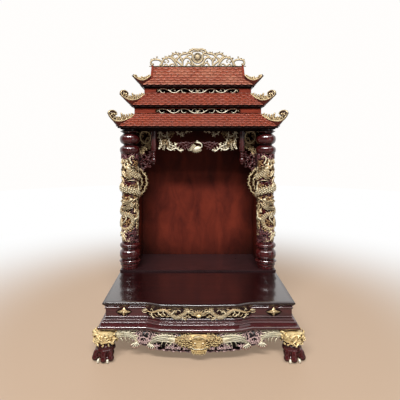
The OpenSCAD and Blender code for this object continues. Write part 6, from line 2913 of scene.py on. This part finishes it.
            t = np.linspace(-1, 1, 7) * math.sqrt(0.0165 ** 2 - offset ** 2)
            path = np.stack([c * t - s * offset, self.boss_z + s * t + c * offset], 1)
            boss.append(strand(path, 0.0013, 0.0035, Section.ROUND, Taper.LEAF, 0.0055))
        top = [leaf(0, 0.081, 90, 0.0128, 0.004, 0.0058), dome(0, 0.0865, (0.0046, 0.0046), 0.0062, sides=10)]
        add_piece("crest_vines", [both_sides(two_faced(vines).mapped(surface)),
                                  two_faced(top).mapped(surface)], OLD_GILDING, Slot.GILDING, ["crest"])
        add_piece("crest_boss", [two_faced(boss).mapped(surface)], OLD_GILDING, Slot.GILDING)


@dataclass
class Studio:
    """Floor, lamps, surround and camera."""

    floor_reach: float = 6.0
    floor_sides: int = 96
    floor_fade: Vec = (0.75, 2.3)
    eye: Vec = (-0.01735, -1.779, 0.835)
    lens: float = 34.56
    sensor: float = 36
    shift: Vec = (0.01425, -0.1425)
    floor_glow: float = 0.4
    ambient: float = 0.05
    front_gloss: float = 0.07
    ceiling_gloss: float = 3.0

    def build(self) -> None:
        """Makes the studio."""
        self.floor()
        self.surround()
        self.lamp("key_lamp", (-0.54, -4.15, 4.64), (0.0, 0.12, 0.72), 450.0, (4.3, 0.72))
        self.lamp("fill_lamp", (2.2, -2.2, 0.7), (0.0, 0.0, 0.3), 4.0, (1.4, 1.4))
        self.camera()

    def floor(self) -> None:
        """Makes the plain pale floor, which fades to white far from the altar."""
        mesh = bpy.data.meshes.new("floor")
        around = evenly_round(self.floor_sides)
        ring = np.stack([np.cos(around), np.sin(around), np.zeros(self.floor_sides)], 1) * self.floor_reach
        mesh.from_pydata(ring.tolist(), [], [tuple(range(self.floor_sides))])
        floor = bpy.data.objects.new("floor", mesh)
        bpy.context.scene.collection.objects.link(floor)
        web = Web("floor_finish")
        place = web.place((1, 1, 0))
        away = web.add("VectorMath", {0: place}, operation="LENGTH").outputs["Value"]
        fade_from, fade_to = self.floor_fade
        share = web.add("MapRange", {"Value": away, "From Min": fade_from, "From Max": fade_to},
                        interpolation_type="SMOOTHSTEP").outputs[0]
        rays = web.add("LightPath")
        pale = web.ramp(share, [(0.0, tone(206, 178, 152)), (1.0, tone(250, 246, 242))])
        web.wire("Roughness", 0.6)
        behind = web.add("MapRange", {"Value": web.add("SeparateXYZ", {0: place}).outputs["Y"],
                                      "From Min": -0.3, "From Max": 0.3, "To Min": 0.12}).outputs[0]
        mirrored = web.sums("MULTIPLY", rays.outputs["Is Glossy Ray"], behind)
        dim = web.sums("SUBTRACT", rays.outputs["Is Glossy Ray"], mirrored)
        dim = web.sums("MAXIMUM", rays.outputs["Is Diffuse Ray"], dim)
        glow = web.sums("MULTIPLY", rays.outputs["Is Camera Ray"], self.floor_glow)
        web.wire("Base Color", web.blend(glow, web.blend(dim, pale, tone(92, 77, 66)), BLACK))
        web.wire("Emission Color", pale)
        web.wire("Emission Strength", glow)
        seen = web.sums("MAXIMUM", rays.outputs["Is Camera Ray"], mirrored)
        seen = web.sums("MAXIMUM", seen, rays.outputs["Is Transmission Ray"])
        far = web.sums("MULTIPLY", share, seen)
        blend = web.add("MixShader", {0: far, 1: web.shader.outputs[0], 2: web.add("Emission").outputs[0]})
        web.feed(web.tree.nodes["Material Output"].inputs["Surface"], blend.outputs[0])
        mesh.materials.append(web.material)

    def surround(self) -> None:
        """Makes a white surround, dimmer as light and as a reflection from the front."""
        world = bpy.data.worlds.new("surround")
        bpy.context.scene.world = world
        world.use_nodes = True
        web = Wiring(world.node_tree)
        glow = web.tree.nodes["Background"]
        web.feed(glow.inputs["Color"], (1.0, 0.985, 0.97, 1.0))
        rays = web.add("LightPath").outputs
        way = web.add("SeparateXYZ", {0: web.add("TexCoord").outputs["Generated"]}).outputs

        def ramped(axis: str, first: float, last: float, low: float, high: float) -> bpy.types.NodeSocket:
            """A level that runs from low to high between two values of a direction's axis.

            Args:
                axis: The axis, X, Y or Z.
                first: Where the level leaves low.
                last: Where it reaches high.
                low: The level before that.
                high: The level after that.

            Returns:
                The level's socket.
            """
            inputs = {0: way[axis], 1: first, 2: last, 3: low, 4: high}
            return web.add("MapRange", inputs, interpolation_type="SMOOTHSTEP").outputs[0]

        ceiling = web.maths("MULTIPLY", ramped("Z", 0.46, 0.6, 0.0, self.ceiling_gloss),
                            ramped("Z", 0.74, 0.88, 1.0, 0.0))
        ceiling = web.maths("MULTIPLY", ceiling, ramped("Y", -0.25, 0.05, 1.0, 0.0))
        gloss = web.maths("MAXIMUM", ramped("Y", -0.3, 0.25, self.front_gloss, 1.0), ceiling)
        level = self.ambient
        for ray, seen in (("Is Glossy Ray", gloss), ("Is Transmission Ray", 1.0), ("Is Camera Ray", 1.0)):
            level = web.add("Mix", {0: rays[ray], 2: level, 3: seen}).outputs[0]
        web.feed(glow.inputs["Strength"], level)

    def lamp(self, name: str, place: Vec, aim: Vec, watts: float, size: Vec) -> None:
        """Adds a soft rectangular lamp.

        Args:
            name: The lamp's name.
            place: Where it hangs.
            aim: The point that it faces.
            watts: Its power.
            size: Its width and height.
        """
        light = bpy.data.lights.new(name, "AREA")
        light.energy = watts
        light.shape = "RECTANGLE"
        light.size, light.size_y = size
        lamp = bpy.data.objects.new(name, light)
        bpy.context.scene.collection.objects.link(lamp)
        lamp.location = place
        towards = np.array(aim) - np.array(place)
        lamp.rotation_euler = (math.acos(-towards[2] / np.linalg.norm(towards)), 0.0,
                               math.atan2(-towards[0], towards[1]))

    def camera(self) -> None:
        """Places the camera."""
        data = bpy.data.cameras.new("camera")
        camera = bpy.data.objects.new("camera", data)
        bpy.context.scene.collection.objects.link(camera)
        camera.location = self.eye
        camera.rotation_euler = (math.radians(90), 0, 0)
        data.lens = self.lens
        data.sensor_width = self.sensor
        data.shift_x, data.shift_y = self.shift
        bpy.context.scene.camera = camera


def main() -> None:
    """Builds the studio and the altar, and reports each piece."""
    logging.basicConfig(level=logging.INFO, format="%(message)s")
    bpy.context.scene.view_settings.view_transform = "Standard"
    Studio().build()
    for assembly in (Base(), Cabinet(), Roof()):
        assembly.build()


if __name__ == "__main__":
    main()
